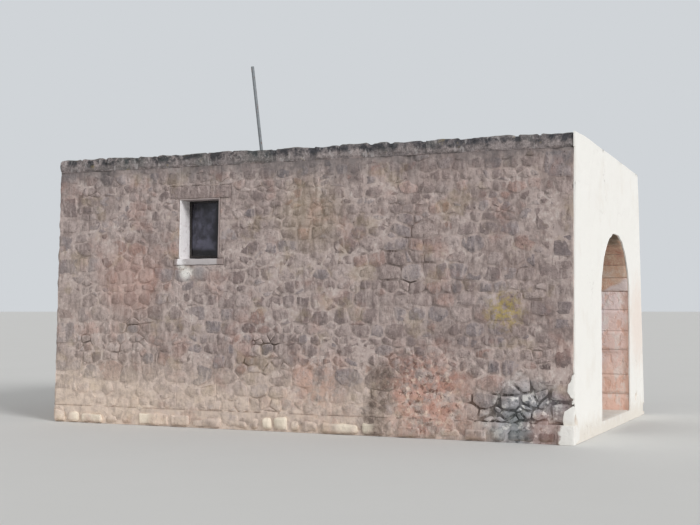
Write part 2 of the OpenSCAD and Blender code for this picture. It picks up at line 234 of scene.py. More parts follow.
MERGE = 1e-5
FLAT = math.radians(0.5)
SHARP = 0.5
LEFT_OVER = 0.01
AXES = (Vector((1, 0, 0)), Vector((0, 1, 0)), UP)


def everything(bm):
    """All vertices, edges and faces of a mesh."""
    return bm.verts[:] + bm.edges[:] + bm.faces[:]


def around(faces):
    """Some faces with their edges and vertices."""
    edges = {edge for face in faces for edge in face.edges}
    verts = {vert for face in faces for vert in face.verts}
    return list(verts) + list(edges) + list(faces)


def span(geometry, axis):
    """Least and greatest coordinate along an axis of the vertices among some mesh elements."""
    values = [part.co[axis] for part in geometry if isinstance(part, bmesh.types.BMVert)]
    return min(values), max(values)


def corners_of(verts):
    """Lowest and highest corner of some vertices."""
    return [Vector(corner) for corner in zip(*(span(verts, axis) for axis in range(3)))]


def mesh_of(bm, name):
    """Turns a working mesh into mesh data and frees it."""
    mesh = bpy.data.meshes.new(name)
    bm.to_mesh(mesh)
    bm.free()
    return mesh


def pour(whole, part):
    """Adds one working mesh to another, frees it and gives back its number of vertices."""
    mesh = mesh_of(part, "part")
    whole.from_mesh(mesh)
    count = len(mesh.vertices)
    bpy.data.meshes.remove(mesh)
    return count


def placed(name, data):
    """A new object of the scene that shows some data."""
    made = bpy.data.objects.new(name, data)
    bpy.context.scene.collection.objects.link(made)
    return made


def paint(piece, layer, values):
    """Paints a value on each vertex of a piece."""
    piece.data.attributes.new(layer, "FLOAT", "POINT").data.foreach_set("value", values)


def merged_copy(node):
    """A copy of a solid with its loose triangles merged and its flat faces joined."""
    bm = bmesh.new()
    bm.from_mesh(NODES[node].data)
    bmesh.ops.remove_doubles(bm, verts=bm.verts[:], dist=MERGE)
    bmesh.ops.dissolve_limit(bm, angle_limit=FLAT, verts=bm.verts[:], edges=bm.edges[:])
    return bm


def box_between(low, high):
    """A plain box between two corners."""
    bm = bmesh.new()
    bmesh.ops.create_cube(bm, size=1.0)
    bmesh.ops.scale(bm, vec=high - low, verts=bm.verts[:])
    bmesh.ops.translate(bm, vec=(low + high) / 2, verts=bm.verts[:])
    return bm


def dice(bm, spacing):
    """Cuts a mesh by evenly spaced planes along each axis, so that it can be made uneven."""
    geometry = everything(bm)
    for axis, normal in enumerate(AXES):
        low, high = span(geometry, axis)
        steps = round((high - low) / spacing)
        for i in range(1, steps):
            place = normal * (low + (high - low) * i / steps)
            geometry = bmesh.ops.bisect_plane(bm, geom=geometry, plane_co=place, plane_no=normal)["geom"]


def dice_on_grid(bm, spacing, geometry):
    """Cuts faces on a grid that all pieces share, so that pieces which meet keep matching edges."""
    for axis, normal in enumerate(AXES):
        low, high = span(geometry, axis)
        for i in range(math.ceil(low / spacing), math.floor(high / spacing) + 1):
            geometry = bmesh.ops.bisect_plane(bm, geom=geometry, plane_co=normal * i * spacing,
                                              plane_no=normal, dist=0.002)["geom"]


def cut_away(bm, place, normal):
    """Cuts off what lies past a plane and closes the cut."""
    bmesh.ops.bisect_plane(bm, geom=everything(bm), plane_co=place, plane_no=normal, clear_outer=True)
    open_edges = [edge for edge in bm.edges if len(edge.link_faces) == 1]
    if open_edges:
        bmesh.ops.holes_fill(bm, edges=open_edges)
    bmesh.ops.recalc_face_normals(bm, faces=bm.faces[:])


def uneven(place, scale, seed):
    """A repeatable share from 0 to 1 that changes slowly from place to place, with a finer part."""
    shift = Vector((seed * 3.7, seed * 1.9, seed * 5.3))
    broad = noise.noise(place * scale + shift)
    fine = noise.noise(place * scale * 3.1 - shift)
    return min(max(0.5 + 0.5 * (1.3 * broad + 0.5 * fine), 0.0), 1.0)


def wear_down(bm, depth, scale, seed):
    """Moves every vertex inwards by an uneven part of a depth, never past the first outline."""
    bm.normal_update()
    low, high = corners_of(bm.verts)
    moved = [vert.co - vert.normal * depth * uneven(vert.co, scale, seed) for vert in bm.verts]
    for vert, place in zip(bm.verts, moved):
        vert.co = [min(max(place[i], low[i]), high[i]) for i in range(3)]


def round_edges(bm, width, segments=2):
    """Bevels the edges between faces that meet at an angle."""
    sharp = [e for e in bm.edges if len(e.link_faces) == 2 and e.calc_face_angle(0.0) > SHARP]
    bmesh.ops.bevel(bm, geom=sharp, offset=width, offset_type="OFFSET", segments=segments,
                    profile=0.5, affect="EDGES", material=-1, clamp_overlap=True)


def worn(bm, rounding, spacing, depth, scale, seed, segments=2):
    """Rounds the edges of a mesh, cuts up its faces and wears them down."""
    if rounding:
        round_edges(bm, rounding, segments)
    dice(bm, spacing)
    wear_down(bm, depth, scale, seed)
    return bm


def rough_block(low, high, rounding, spacing, wear, seed):
    """A squared stone between two corners, with rounded edges and worn faces."""
    return worn(box_between(low, high), rounding, spacing, wear, 6.0, seed)


def set_back(bm, depth):
    """Moves every face of a closed shape inwards by the same depth."""
    bm.normal_update()
    moved = [vert.co - vert.normal * vert.calc_shell_factor() * depth for vert in bm.verts]
    for vert, place in zip(bm.verts, moved):
        vert.co = place


def blocks_of(node):
    """Corners of each separate block of a solid, in order along its longest side."""
    bm = merged_copy(node)
    left = set(bm.verts)
    boxes = []
    while left:
        group = {left.pop()}
        reached = list(group)
        while reached:
            vert = reached.pop()
            others = {edge.other_vert(vert) for edge in vert.link_edges} - group
            group |= others
            reached += others
        left -= group
        boxes.append(corners_of(group))
    bm.free()
    return sorted(boxes, key=lambda box: tuple(box[0]))


def divided(low, high, shortest, draw):
    """Starts and ends of pieces of drawn lengths along a stretch, with no short one left at its end."""
    start = low
    while start < high - LEFT_OVER:
        end = start + draw()
        if high - end < shortest:
            end = high
        yield start, end
        start = end


def make_piece(name, bm, finishes, replaced=(), sharp=40.0):
    """Turns a mesh into a finished piece that rides on the house."""
    for face in bm.faces:
        face.smooth = True
    mesh = mesh_of(bm, name)
    mesh.set_sharp_from_angle(angle=math.radians(sharp))
    for finish in finishes:
        mesh.materials.append(finish)
    piece = placed(name, mesh)
    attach(piece, "root")
    if replaced:
        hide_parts(*replaced)
    return piece


def bed_between(name, low, high, finish):
    """A plain bed that closes the joints between separate stones."""
    return make_piece(name, worn(box_between(low, high), 0, 0.08, 0.006, 9.0, 2), [finish])


def rim_of(normal):
    """Near 1 on the rounded rim of a squared stone and 0 on its flat faces."""
    return min(1.0, 6.0 * (1.0 - max(abs(normal.x), abs(normal.y), abs(normal.z))))


class Stonework:
    """Gathers separate stones into one piece, each with a tone and a tint of its own."""

    def __init__(self):
        self.bm = bmesh.new()
        self.tones = []
        self.tints = []

    def add(self, stone, tone, tint):
        """Adds one finished stone and frees it."""
        count = pour(self.bm, stone)
        self.tones += [tone] * count
        self.tints += [tint] * count

    def piece(self, name, finish, slot, replaced=(), sharp=40.0):
        """Makes the piece and paints its stones' tones and tints, and their rims, on it."""
        made = make_piece(name, self.bm, [finish], replaced, sharp)
        paint(made, "tone", self.tones)
        paint(made, "tint", self.tints)
        paint(made, "rim", [rim_of(vert.normal) for vert in made.data.vertices])


# Materials


class Finish:
    """A procedural material whose patterns are set out on the building's own coordinates."""

    def __init__(self, name, roughness, colour=None):
        self.material = bpy.data.materials.new(name)
        self.material.use_nodes = True
        self.tree = self.material.node_tree
        self.surface = self.tree.nodes["Principled BSDF"]
        self.surface.inputs["Roughness"].default_value = roughness
        self.place = self.add("TexCoord").outputs["Object"]
        self.x, self.y, self.z = self.add("SeparateXYZ", (0, self.place)).outputs
        self.colour = colour

    def feed(self, socket, value):
        """Links an output to a socket, or sets the socket to a plain value."""
        if isinstance(value, bpy.types.NodeSocket):
            self.tree.links.new(value, socket)
        else:
            socket.default_value = value

    def add(self, kind, *plugs, **modes):
        """Adds a shader node, sets its modes and feeds its inputs, each a socket and a value."""
        node = self.tree.nodes.new("ShaderNode" + kind)
        for name, mode in modes.items():
            setattr(node, name, mode)
        for socket, value in plugs:
            self.feed(node.inputs[socket], value)
        return node

    def noise(self, scale, detail=4.0, roughness=0.55, upright=1.0):
        """Cloudy pattern, from 0 to 1 round one half, drawn out upwards by an upright under 1."""
        place = self.place
        if upright != 1.0:
            place = self.add("Mapping", (0, place), ("Scale", (1.0, 1.0, upright))).outputs[0]
        return self.add("TexNoise", ("Vector", place), ("Scale", scale), ("Detail", detail),
                        ("Roughness", roughness)).outputs["Fac"]

    def cracks(self, scale, wander):
        """Distance to the nearest of a net of lines that wander by a length."""
        cloud = self.add("TexNoise", ("Vector", self.place), ("Scale", 5.0), ("Detail", 5.0))
        moved = self.add("VectorMath", (0, cloud.outputs["Color"]), (1, (wander,) * 3),
                         (2, self.place), operation="MULTIPLY_ADD")
        return self.add("TexVoronoi", ("Vector", moved.outputs[0]), ("Scale", scale),
                        feature="DISTANCE_TO_EDGE").outputs["Distance"]

    def mark(self, name):
        """A value painted on the stones of a piece."""
        return self.add("Attribute", attribute_name=name).outputs["Fac"]

    def facing_up(self):
        """How far a surface faces the sky, 1 where it is level."""
        return self.add("SeparateXYZ", (0, self.add("NewGeometry").outputs["Normal"])).outputs[2]

    def math(self, operation, first, second):
        """Arithmetic on two values."""
        return self.add("Math", (0, first), (1, second), operation=operation).outputs[0]

    def times(self, first, second):
        """One value times another."""
        return self.math("MULTIPLY", first, second)

    def plus(self, first, second):
        """One value and another."""
        return self.math("ADD", first, second)

    def less(self, first, second):
        """One value less another."""
        return self.math("SUBTRACT", first, second)

    def most(self, first, second):
        """The greater of two values."""
        return self.math("MAXIMUM", first, second)

    def wavy(self, source, amount, scale, detail=4.0, roughness=0.55, upright=1.0):
        """A value made to wander by up to an amount."""
        return self.plus(source, self.times(self.noise(scale, detail, roughness, upright), amount))

    def rise(self, source, low, high):
        """A smooth change from 0 to 1 as the source goes from low to high, or back."""
        falling = low > high
        return self.add("MapRange", ("Value", source), ("From Min", min(low, high)),
                        ("From Max", max(low, high)), ("To Min", float(falling)),
                        ("To Max", float(not falling)), interpolation_type="SMOOTHSTEP").outputs[0]

    def patches(self, low, high, scale, detail=5.0, roughness=0.6, upright=1.0):
        """Patches where a cloudy pattern passes from low to high."""
        return self.rise(self.noise(scale, detail, roughness, upright), low, high)

    def broken(self, share, scale):
        """A share broken up into ragged patches."""
        return self.times(share, self.patches(0.40, 0.60, scale, 6.0, 0.66))

    def near(self, centre, radius, ragged):
        """A soft spot round a point, with an edge broken up by noise."""
        far = self.add("VectorMath", (0, self.place), (1, centre), operation="DISTANCE").outputs["Value"]
        return self.rise(self.wavy(far, ragged, 9.0, 5.0), radius + ragged,
                         radius * 0.35 + ragged * 0.5)

    def ramp(self, source, *stops):
        """Colours along a value, each stop a place and a colour."""
        node = self.add("ValToRGB", ("Fac", source))
        points = node.color_ramp.elements
        while len(points) < len(stops):
            points.new(0.5)
        for point, (place, colour) in zip(points, stops):
            point.position = place
            point.color = colour
        return node.outputs["Color"]

    def tones(self, *stops):
        """Starts from the tones of the single stones."""
        self.colour = self.ramp(self.mark("tone"), *stops)

    def mix(self, share, first, second, blend="MIX"):
        """Blends two colours by a share."""
        return self.add("Mix", (0, share), (6, first), (7, second), data_type="RGBA",
                        blend_type=blend).outputs[2]

    def lay(self, share, amount, tint, blend="MIX"):
        """Lays a tint over the colour so far, where a share says and as strongly as an amount."""
        self.colour = self.mix(self.times(share, amount), self.colour, tint, blend)

    def clouds(self, *layers, detail=5.0):
        """Makes the colour lighter and darker in cloudy patterns, each a scale and a depth."""
        for scale, depth in layers:
            dark, pale = [(0.5 + side * depth / 2,) * 3 + (1.0,) for side in (-1, 1)]
            grey = self.ramp(self.noise(scale, detail, 0.6), (0.3, dark), (0.7, pale))
            self.colour = self.mix(1.0, self.colour, grey, "OVERLAY")

    def bumps(self, *layers):
        """Adds fine relief, each layer a height pattern and its depth in metres."""
        normal = None
        for height, depth in layers:
            node = self.add("Bump", ("Strength", 1.0), ("Distance", depth), ("Height", height))
            if normal:
                self.feed(node.inputs["Normal"], normal)
            normal = node.outputs["Normal"]
        self.feed(self.surface.inputs["Normal"], normal)

    def done(self):
        """Sets the base colour and gives back the material."""
        self.feed(self.surface.inputs["Base Color"], self.colour)
        return self.material


def on_front(x, z):
    """A point on the leaning front face."""
    return (x, front_y(z), z)


# Marks of the front wall
LIME_PATCH = on_front(-1.56, 2.03)
GREY_SMEAR = on_front(-1.36, 2.06)
LIME_SMEAR = on_front(-1.64, 2.14)
OLIVE_TINGE = on_front(0.26, 2.76)
ROSY_TINGE = on_front(-2.43, 1.95)
EARTH_PATCH = on_front(1.85, 0.5)
MOSS_PATCH = on_front(2.84, 1.56)
DARK_STREAK = (on_front(1.27, 0.74), on_front(1.23, 0.42), on_front(1.17, 0.14))
ORANGE_PATCH = on_front(0.38, 0.62)
PURPLE_PATCH = on_front(3.48, 0.5)
BARE_PATCH = on_front(3.1, 0.25)
GREEN_PATCH = on_front(2.97, 0.27)
RED_BOULDER = (3.33, FRONT_Y, 0.15)
DARK_FOOTING = (3.0, FRONT_Y, 0.12)
BLEACHED_AT = (-3.2, -2.9, -2.17, -0.28, -0.08, 0.78, 1.02)


def weathered(f):
    """Marks that the weather left on stones and mortar alike, from the foot to the top."""
    f.clouds((17.0, 0.2))
    runs_and_foot(f)
    stains(f)
    splashes(f)
    bare_corner(f)
    lime_marks(f)
    f.lay(f.rise(f.wavy(f.z, 0.85, 3.0, 6.0, 0.65, 0.5), 3.62, 3.94), 0.62, colours().lichen)


def runs_and_foot(f):
    """Runs of rain, dust higher up, the bleached foot of the far half and a film on the near one."""
    c = colours()
    runs = f.noise(18.0, 4.0, 0.6, 0.26)
    f.lay(f.rise(runs, 0.53, 0.61), 0.6, c.stone_pale)
    f.lay(f.rise(runs, 0.45, 0.37), 0.5, c.stone_dark)
    f.lay(f.rise(f.z, 0.8, 1.5), 0.19, srgb(158, 146, 144))
    along = f.plus(f.times(f.rise(f.x, 2.0, 0.7), 0.36), f.times(f.rise(f.x, -1.2, -2.8), 0.18))
    pale = f.times(f.rise(f.wavy(f.z, 0.6, 1.3, 3.0), 1.35, 0.5), f.plus(along, 0.18))
    f.lay(pale, 0.68, c.foot_wash)
    f.lay(f.broken(pale, 10.0), 0.8, c.foot_wash)
    f.lay(f.times(f.rise(f.x, -0.9, -2.6), f.rise(f.z, 2.8, 1.2)), 0.1, c.foot_wash)
    f.lay(f.broken(f.rise(f.x, 0.5, 2.0), 2.5), 0.07, c.earth_deep)


def stains(f):
    """Tinges and patches of earth and moss, a dark streak, and an orange and a purple patch."""
    c = colours()
    f.lay(f.broken(f.near(EARTH_PATCH, 0.5, 0.5), 7.0), 0.6, c.earth)
    f.lay(f.near(ROSY_TINGE, 0.5, 0.4), 0.22, c.earth)
    f.lay(f.near(OLIVE_TINGE, 0.45, 0.4), 0.16, c.moss)
    f.lay(f.patches(0.54, 0.68, 2.2), 0.16, c.earth)
    f.lay(f.patches(0.45, 0.33, 2.7), 0.14, c.moss)
    f.lay(f.broken(f.near(MOSS_PATCH, 0.22, 0.2), 16.0), 0.85, c.moss)
    for place in DARK_STREAK:
        streak = f.near(place, 0.15, 0.18)
        f.lay(streak, 0.35, srgb(104, 88, 80))
        f.lay(f.broken(streak, 12.0), 0.75, srgb(84, 70, 62))
    f.lay(f.broken(f.near(ORANGE_PATCH, 0.4, 0.4), 8.0), 0.4, srgb(216, 172, 150))
    f.lay(f.near(PURPLE_PATCH, 0.13, 0.14), 0.4, srgb(122, 98, 114))


def splashes(f):
    """Pale and dark spots on the patch of splashed earth."""
    splashed = f.near(EARTH_PATCH, 0.5, 0.5)
    f.lay(f.times(f.patches(0.55, 0.63, 12.0), splashed), 0.6, colours().foot_wash)
    f.lay(f.times(f.patches(0.43, 0.36, 15.0), splashed), 0.7, srgb(104, 76, 64))


def bare_corner(f):
    """Grey stones with lime and dark spots at the foot of the near corner, and its red boulder."""
    c = colours()
    bare = f.near(BARE_PATCH, 0.5, 0.3)
    f.lay(bare, 0.75, srgb(116, 120, 125), "COLOR")
    f.lay(f.times(f.patches(0.54, 0.62, 10.0), bare), 0.75, c.plaster)
    f.lay(f.times(f.patches(0.46, 0.38, 13.0), bare), 0.7, srgb(70, 76, 80))
    f.lay(f.near(GREEN_PATCH, 0.12, 0.14), 0.5, srgb(72, 84, 80))
    f.lay(f.near(RED_BOULDER, 0.24, 0.2), 0.5, c.stone_red)


def lime_marks(f):
    """Smears of lime and of grey under the window."""
    f.lay(f.near(GREY_SMEAR, 0.1, 0.1), 0.5, srgb(182, 178, 179))
    for place, radius in ((LIME_PATCH, 0.08), (LIME_SMEAR, 0.03)):
        lime = f.times(f.near(place, radius, 0.12), f.patches(0.32, 0.44, 26.0))
        f.lay(lime, 0.92, colours().plaster)


def joint_colour(f):
    """Mortar that is rich in lime in some patches and in earth in others."""
    c = colours()
    return f.mix(f.patches(0.40, 0.58, 3.0, 6.0, 0.62), c.mortar_earthy, c.mortar)


def rubble_finish():
    """Weathered rubble limestone: stones of several tones with lime smeared over their rims."""
    c = colours()
    f = Finish("rubble_stone", 0.9)
    f.tones((0.0, c.stone_dark), (0.45, c.stone_mid), (1.0, c.stone_pale))
    tint = f.mark("tint")
    f.lay(f.rise(tint, 0.13, 0.03), 0.36, c.stone_red)
    f.lay(f.rise(tint, 0.76, 0.9), 0.45, c.stone_blue)
    f.clouds((9.0, 0.3), (60.0, 0.3))
    mortar = joint_colour(f)
    f.lay(f.rise(f.wavy(f.mark("rim"), 1.1, 17.0, 6.0, 0.65), 0.72, 1.3), 0.7, mortar)
    f.lay(f.patches(0.52, 0.66, 5.5, 7.0, 0.62, 0.6), 0.55, mortar)
    pits = f.patches(0.36, 0.27, 34.0, 3.0, 0.5)
    f.lay(pits, 0.55, c.mortar_deep)
    f.bumps((f.noise(9.0, 3.0), 0.022), (f.noise(24.0, 6.0, 0.64), 0.014), (pits, -0.005))
    weathered(f)
    return f.done()


def mortar_finish():
    """Weathered lime mortar, darker where the joints are washed out deep: earth in the open joints, and
    painted shade of their depth.
    """
    f = Finish("bed_mortar", 0.95)
    # Deep joints darken towards the washed-out colour: earth, and painted shade that grows with the
    # joint's depth.
    f.colour = f.mix(f.rise(f.mark("tone"), 0.7, 0.1), joint_colour(f), colours().mortar_deep)
    f.clouds((20.0, 0.35))
    f.bumps((f.noise(45.0, 5.0, 0.65), 0.008))
    weathered(f)
    return f.done()


def packed_finish(name, packing, in_wall=False):
    """Earth and lime packed between stones, weathered with the walls where it is part of them."""
    f = Finish(name, 0.95, packing)
    f.clouds((14.0, 0.4))
    f.bumps((f.noise(40.0, 5.0, 0.65), 0.008))
    if in_wall:
        weathered(f)
    return f.done()


def earth_finish():
    """Earth packed in the joints of the paving, behind the arch and over the vault."""
    return packed_finish("packed_earth", srgb(137, 124, 117))


def lichened_finish():
    """Coping stone blackened by lichen in blotches, with pale and ochre crusts."""
    c = colours()
    f = Finish("lichened_coping", 0.93)
    f.tones((0.0, srgb(140, 131, 130)), (1.0, srgb(168, 157, 155)))
    top = PAVING_HIGH.z + ROOF_FALL * PAVING_LOW.y
    edge = f.wavy(f.plus(f.z, f.times(f.y, ROOF_FALL)), 0.16, 6.0, 5.0)
    dark = f.most(f.rise(edge, top - 0.02, top + 0.08), 0.35)
    f.lay(f.patches(0.40, 0.56, 7.0, 8.0, 0.68), dark, srgb(66, 65, 68))
    crest = f.times(f.rise(edge, top + 0.03, top + 0.09), f.rise(f.x, -1.5, 1.0))
    f.lay(crest, 0.5, srgb(74, 74, 80))
    f.lay(f.patches(0.50, 0.62, 1.7, 4.0, 0.55), 0.3, srgb(92, 102, 98))
    f.lay(f.rise(edge, top - 0.01, top - 0.08), 0.7, c.stone_mid)
    f.clouds((26.0, 0.4), detail=6.0)
    f.clouds((90.0, 0.35))
    f.lay(f.patches(0.56, 0.64, 14.0, 6.0, 0.6, 0.5), 0.45, srgb(196, 190, 189))
    f.lay(f.patches(0.62, 0.72, 6.0, 6.0), 0.3, c.moss)
    f.lay(f.rise(f.facing_up(), 0.5, 0.9), 0.6, srgb(124, 120, 114))
    f.bumps((f.noise(24.0, 6.0, 0.65), 0.014), (f.noise(90.0, 3.0), 0.003))
    return f.done()


def footing_finish():
    """Bare limestone along the ground, bleached or earth-stained, and limed at the near corner."""
    c = colours()
    f = Finish("footing_stone", 0.9)
    f.tones((0.0, srgb(140, 124, 118)), (0.5, c.stone_mid), (1.0, c.footing))
    f.lay(f.rise(f.mark("tint"), 0.16, 0.06), 0.4, c.stone_red)
    f.clouds((9.0, 0.4), (50.0, 0.3))
    f.lay(f.rise(f.wavy(f.mark("rim"), 1.1, 15.0, 6.0, 0.65), 0.75, 1.4), 0.5, c.mortar)
    weathered(f)
    for x in BLEACHED_AT:
        f.lay(f.near((x, FRONT_Y, 0.13), 0.14, 0.1), 0.65, srgb(252, 242, 222))
    f.lay(f.near(DARK_FOOTING, 0.3, 0.22), 0.62, srgb(78, 84, 84))
    f.lay(f.times(f.near(RED_BOULDER, 0.2, 0.15), f.rise(f.z, 0.17, 0.10)), 0.6, srgb(98, 64, 56))
    f.lay(f.rise(f.wavy(f.z, 0.12, 7.0), 0.13, 0.05), 0.45, srgb(160, 132, 104))
    corner = f.rise(f.wavy(f.x, 0.22, 8.0, 5.0), X_ARCH - 0.05, X_ARCH - 0.01)
    f.lay(f.times(corner, f.rise(f.y, 0.0, -1.0)), 0.95, c.plaster)
    f.bumps((f.noise(18.0, 6.0, 0.62), 0.014), (f.noise(70.0), 0.004))
    return f.done()


def plaster_finish():
    """Lime plaster of the arched end: white, faintly clouded, soiled at the foot and streaked."""
    c = colours()
    f = Finish("lime_plaster", 0.85, c.plaster)
    f.clouds((1.4, 0.05))
    f.lay(f.rise(f.wavy(f.z, 0.5, 6.0, 6.0), 0.62, 0.28), 0.5, c.plaster_soil)
    streaks = f.patches(0.58, 0.78, 6.0, 5.0, 0.6, 0.12)
    f.lay(f.times(streaks, f.rise(f.z, 2.4, 3.6)), 0.3, c.plaster_soil)
    f.lay(f.patches(0.56, 0.7, 2.1, 4.0, 0.5), 0.14, c.plaster_soil)
    f.lay(f.near((X_PLASTER, 1.75, 1.35), 0.6, 0.6), 0.6, c.plaster_blush)
    hair = f.times(f.rise(f.cracks(1.3, 0.35), 0.004, 0.001), f.patches(0.48, 0.6, 1.1, 2.0, 0.55))
    f.lay(hair, 0.35, c.stone_mid)
    for centre, radius in PLASTER_CHIPS:
        f.lay(f.near(centre, radius * 1.2, 0.04), 0.6, c.plaster_soil)
    f.bumps((f.noise(5.0, 5.0), 0.012), (f.noise(60.0, 5.0, 0.6), 0.0035), (hair, -0.002))
    return f.done()


def window_plaster_finish():
    """Lime on the window's cheeks and sill, worn to the stone along the sill, and laid stone-grey at the
    head as painted shade under the lintel.
    """
    c = colours()
    f = Finish("window_plaster", 0.85, srgb(250, 246, 247))
    low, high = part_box("window_reveal_plaster")
    f.clouds((8.0, 0.14))
    cloudy = f.noise(14.0, 6.0, 0.62)
    f.lay(f.rise(cloudy, 0.52, 0.66), 0.3, c.stone_mid)
    along = f.rise(f.plus(f.x, f.times(cloudy, 0.3)), low.x + 0.16, low.x + 0.30)
    f.lay(f.times(along, f.rise(f.z, low.z + 0.01, low.z)), 0.85, srgb(180, 173, 173))
    # Painted shade: the head of the reveal is laid stone-grey, as in the lintel's shadow.
    head = f.rise(f.z, high.z - 0.03, high.z - 0.012)
    edge = f.rise(f.x, high.x - 0.035, high.x - 0.015)
    tip = f.rise(f.less(f.x, f.times(cloudy, 0.06)), low.x - 0.04, low.x - 0.06)
    f.lay(f.most(head, f.most(edge, tip)), 0.9, c.stone_mid)
    f.bumps((f.noise(26.0, 5.0, 0.6), 0.005))
    return f.done()


def limewash_finish(name="limewash"):
    """Limewash on the room's walls, clouded and rubbed, with an earth stain near the floor."""
    c = colours()
    f = Finish(name, 0.85, c.limewash)
    f.clouds((4.0, 0.16), (30.0, 0.14))
    f.lay(f.rise(f.wavy(f.z, 0.8, 2.5), 1.9, 0.7), 0.3, c.warm_wash_stain_and_glow)
    f.lay(f.patches(0.56, 0.68, 11.0, 6.0, 0.65), 0.3, c.smoke)
    f.bumps((f.noise(12.0, 6.0, 0.6), 0.010), (f.noise(60.0), 0.003))
    return f.done()


def jamb_finish():
    """Limewash on the jambs: lilac-grey inwards, rosy in the middle, orange and rubbed below, and darker
    brown at the outer edge. The rosy and orange tints are partly painted warm light bounced from the
    ground, the orange partly an earth stain, and the dark outer edge is painted shade.
    """
    c = colours()
    # The rosy base is white limewash with painted warm light bounced from the ground.
    f = Finish("jamb_wash", 0.85, srgb(255, 226, 217))
    depth = f.wavy(f.x, 0.16, 5.0)
    f.lay(f.rise(depth, X_ARCH - 0.20, X_ARCH - 0.34), 1.0, srgb(246, 238, 242))
    # Orange towards the foot: an earth stain and painted warm light bounced from the ground.
    f.lay(f.rise(f.wavy(f.z, 0.9, 3.0, 5.0), 1.65, 0.9), 0.7, c.warm_wash_stain_and_glow)
    f.lay(f.rise(f.wavy(f.z, 0.5, 3.0, 5.0), 1.5, 1.9), 0.5, srgb(250, 238, 240))
    flakes = f.patches(0.50, 0.60, 8.0, 7.0, 0.66, 0.6)
    f.lay(flakes, 0.5, srgb(238, 182, 154))
    f.lay(f.patches(0.54, 0.62, 7.0, 6.0, 0.62, 0.5), 0.5, srgb(255, 248, 242))
    # Painted shade: darker brown along the jamb's outer edge, beside the plaster.
    f.lay(f.rise(depth, X_ARCH - 0.02, X_ARCH + 0.08), 0.6, srgb(206, 164, 142))
    f.bumps((f.noise(12.0, 6.0, 0.6), 0.012), (flakes, -0.003), (f.noise(60.0), 0.003))
    return f.done()


VAULT_RADIUS = 1.45


def vault_finish():
    """Limewashed vault of small blocks, whose courses show faintly through the wash."""
    f = Finish("vault_blocks", 0.88)
    axis_y = (lowest("vault_front_haunch").y + highest("vault_rear_haunch").y) / 2
    turn = f.math("ARCTAN2", f.less(f.z, SPRINGING), f.less(f.y, axis_y))
    unrolled = f.add("CombineXYZ", (0, f.x), (1, f.times(turn, VAULT_RADIUS)))
    brick = f.add("TexBrick", ("Vector", unrolled.outputs[0]), ("Color1", colours().limewash),
                  ("Color2", srgb(204, 192, 176)), ("Mortar", srgb(176, 162, 146)), ("Scale", 1.0),
                  ("Mortar Size", 0.007), ("Mortar Smooth", 0.6), ("Brick Width", 0.42),
                  ("Row Height", 0.2))
    f.colour = brick.outputs["Color"]
    f.clouds((3.0, 0.2), (35.0, 0.15))
    f.bumps((f.less(1.0, brick.outputs["Fac"]), 0.008), (f.noise(20.0, 6.0, 0.6), 0.008))
    return f.done()


def arch_finish():
    """Bare arch stones browned by smoke and darkened at the crown by soot and painted shade, with the
    jambs' wash run up over their feet.
    """
    f = Finish("arch_stone", 0.88)
    f.tones((0.0, srgb(220, 182, 160)), (0.5, colours().smoke), (1.0, srgb(240, 212, 190)))
    f.clouds((10.0, 0.3), (45.0, 0.2))
    # Darker at the crown of the soffit: soot, and painted shade.
    f.lay(f.rise(f.wavy(f.z, 0.3, 4.0, 5.0), CROWN, CROWN + 0.14), 0.85, srgb(96, 90, 74))
    slope = f.less(f.z, f.times(f.less(f.x, X_ARCH - 0.36), 0.5))
    washed = f.rise(f.wavy(slope, 0.08, 8.0, 5.0), SPRINGING + 0.07, SPRINGING + 0.02)
    f.lay(washed, 0.92, srgb(246, 232, 230))
    f.bumps((f.noise(20.0, 6.0, 0.62), 0.010), (f.noise(80.0, 3.0), 0.003))
    return f.done()


def flag_finish(name, wash):
    """Worn limestone flags, each of its own tone, with lichen or trodden earth."""
    f = Finish(name, 0.85)
    f.tones((0.0, srgb(154, 146, 134)), (0.6, colours().flagstone), (1.0, srgb(190, 182, 168)))
    f.clouds((7.0, 0.3), (45.0, 0.25))
    f.lay(f.patches(0.54, 0.68, 5.0, 7.0, 0.65), 0.45, wash)
    f.bumps((f.noise(16.0, 6.0, 0.6), 0.008), (f.noise(70.0), 0.003))
    return f.done()


def joinery_finish():
    """Dark paint on weathered wood, rubbed through along the grain."""
    f = Finish("window_joinery", 0.6, colours().frame_paint)
    grain = f.noise(60.0, 5.0, 0.6, 0.08)
    f.lay(f.rise(grain, 0.56, 0.7), 0.5, srgb(96, 88, 80))
    f.bumps((grain, 0.002))
    return f.done()


def pane_finish():
    """Window glass under a film of dust, with a painted sky reflection in its paler bluish patches, and
    painted shade along its far side, foot and head.
    """
    f = Finish("dusty_glass", 0.3, colours().pane)
    low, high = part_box("window_glass")
    # Paler bluish patches: a film of dust that also dims the glass, and a painted reflection of the sky.
    dust = f.patches(0.38, 0.62, 6.0, 6.0)
    f.lay(dust, 1.0, srgb(112, 112, 130))
    shade = f.most(f.rise(f.x, high.x - 0.24, high.x - 0.12), f.rise(f.z, low.z + 0.12, low.z + 0.05))
    shade = f.most(shade, f.times(f.rise(f.z, high.z - 0.14, high.z - 0.06), 0.8))
    f.lay(shade, 0.92, srgb(26, 24, 28))
    f.feed(f.surface.inputs["Transmission Weight"], f.less(0.5, f.times(dust, 0.3)))
    f.feed(f.surface.inputs["IOR"], 1.45)
    return f.done()


def pole_finish():
    """Dull grey paint on a steel tube, with rust coming through."""
    c = colours()
    f = Finish("pole_paint", 0.55, c.pole)
    f.feed(f.surface.inputs["Metallic"], 0.2)
    f.clouds((18.0, 0.15))
    rust = f.patches(0.58, 0.66, 30.0, 7.0, 0.65, 0.4)
    f.lay(rust, 0.8, c.rust)
    f.bumps((rust, 0.0012))
    return f.done()


# Rubble


SEEDS = 50
RUBBLE_FROM = 0.06


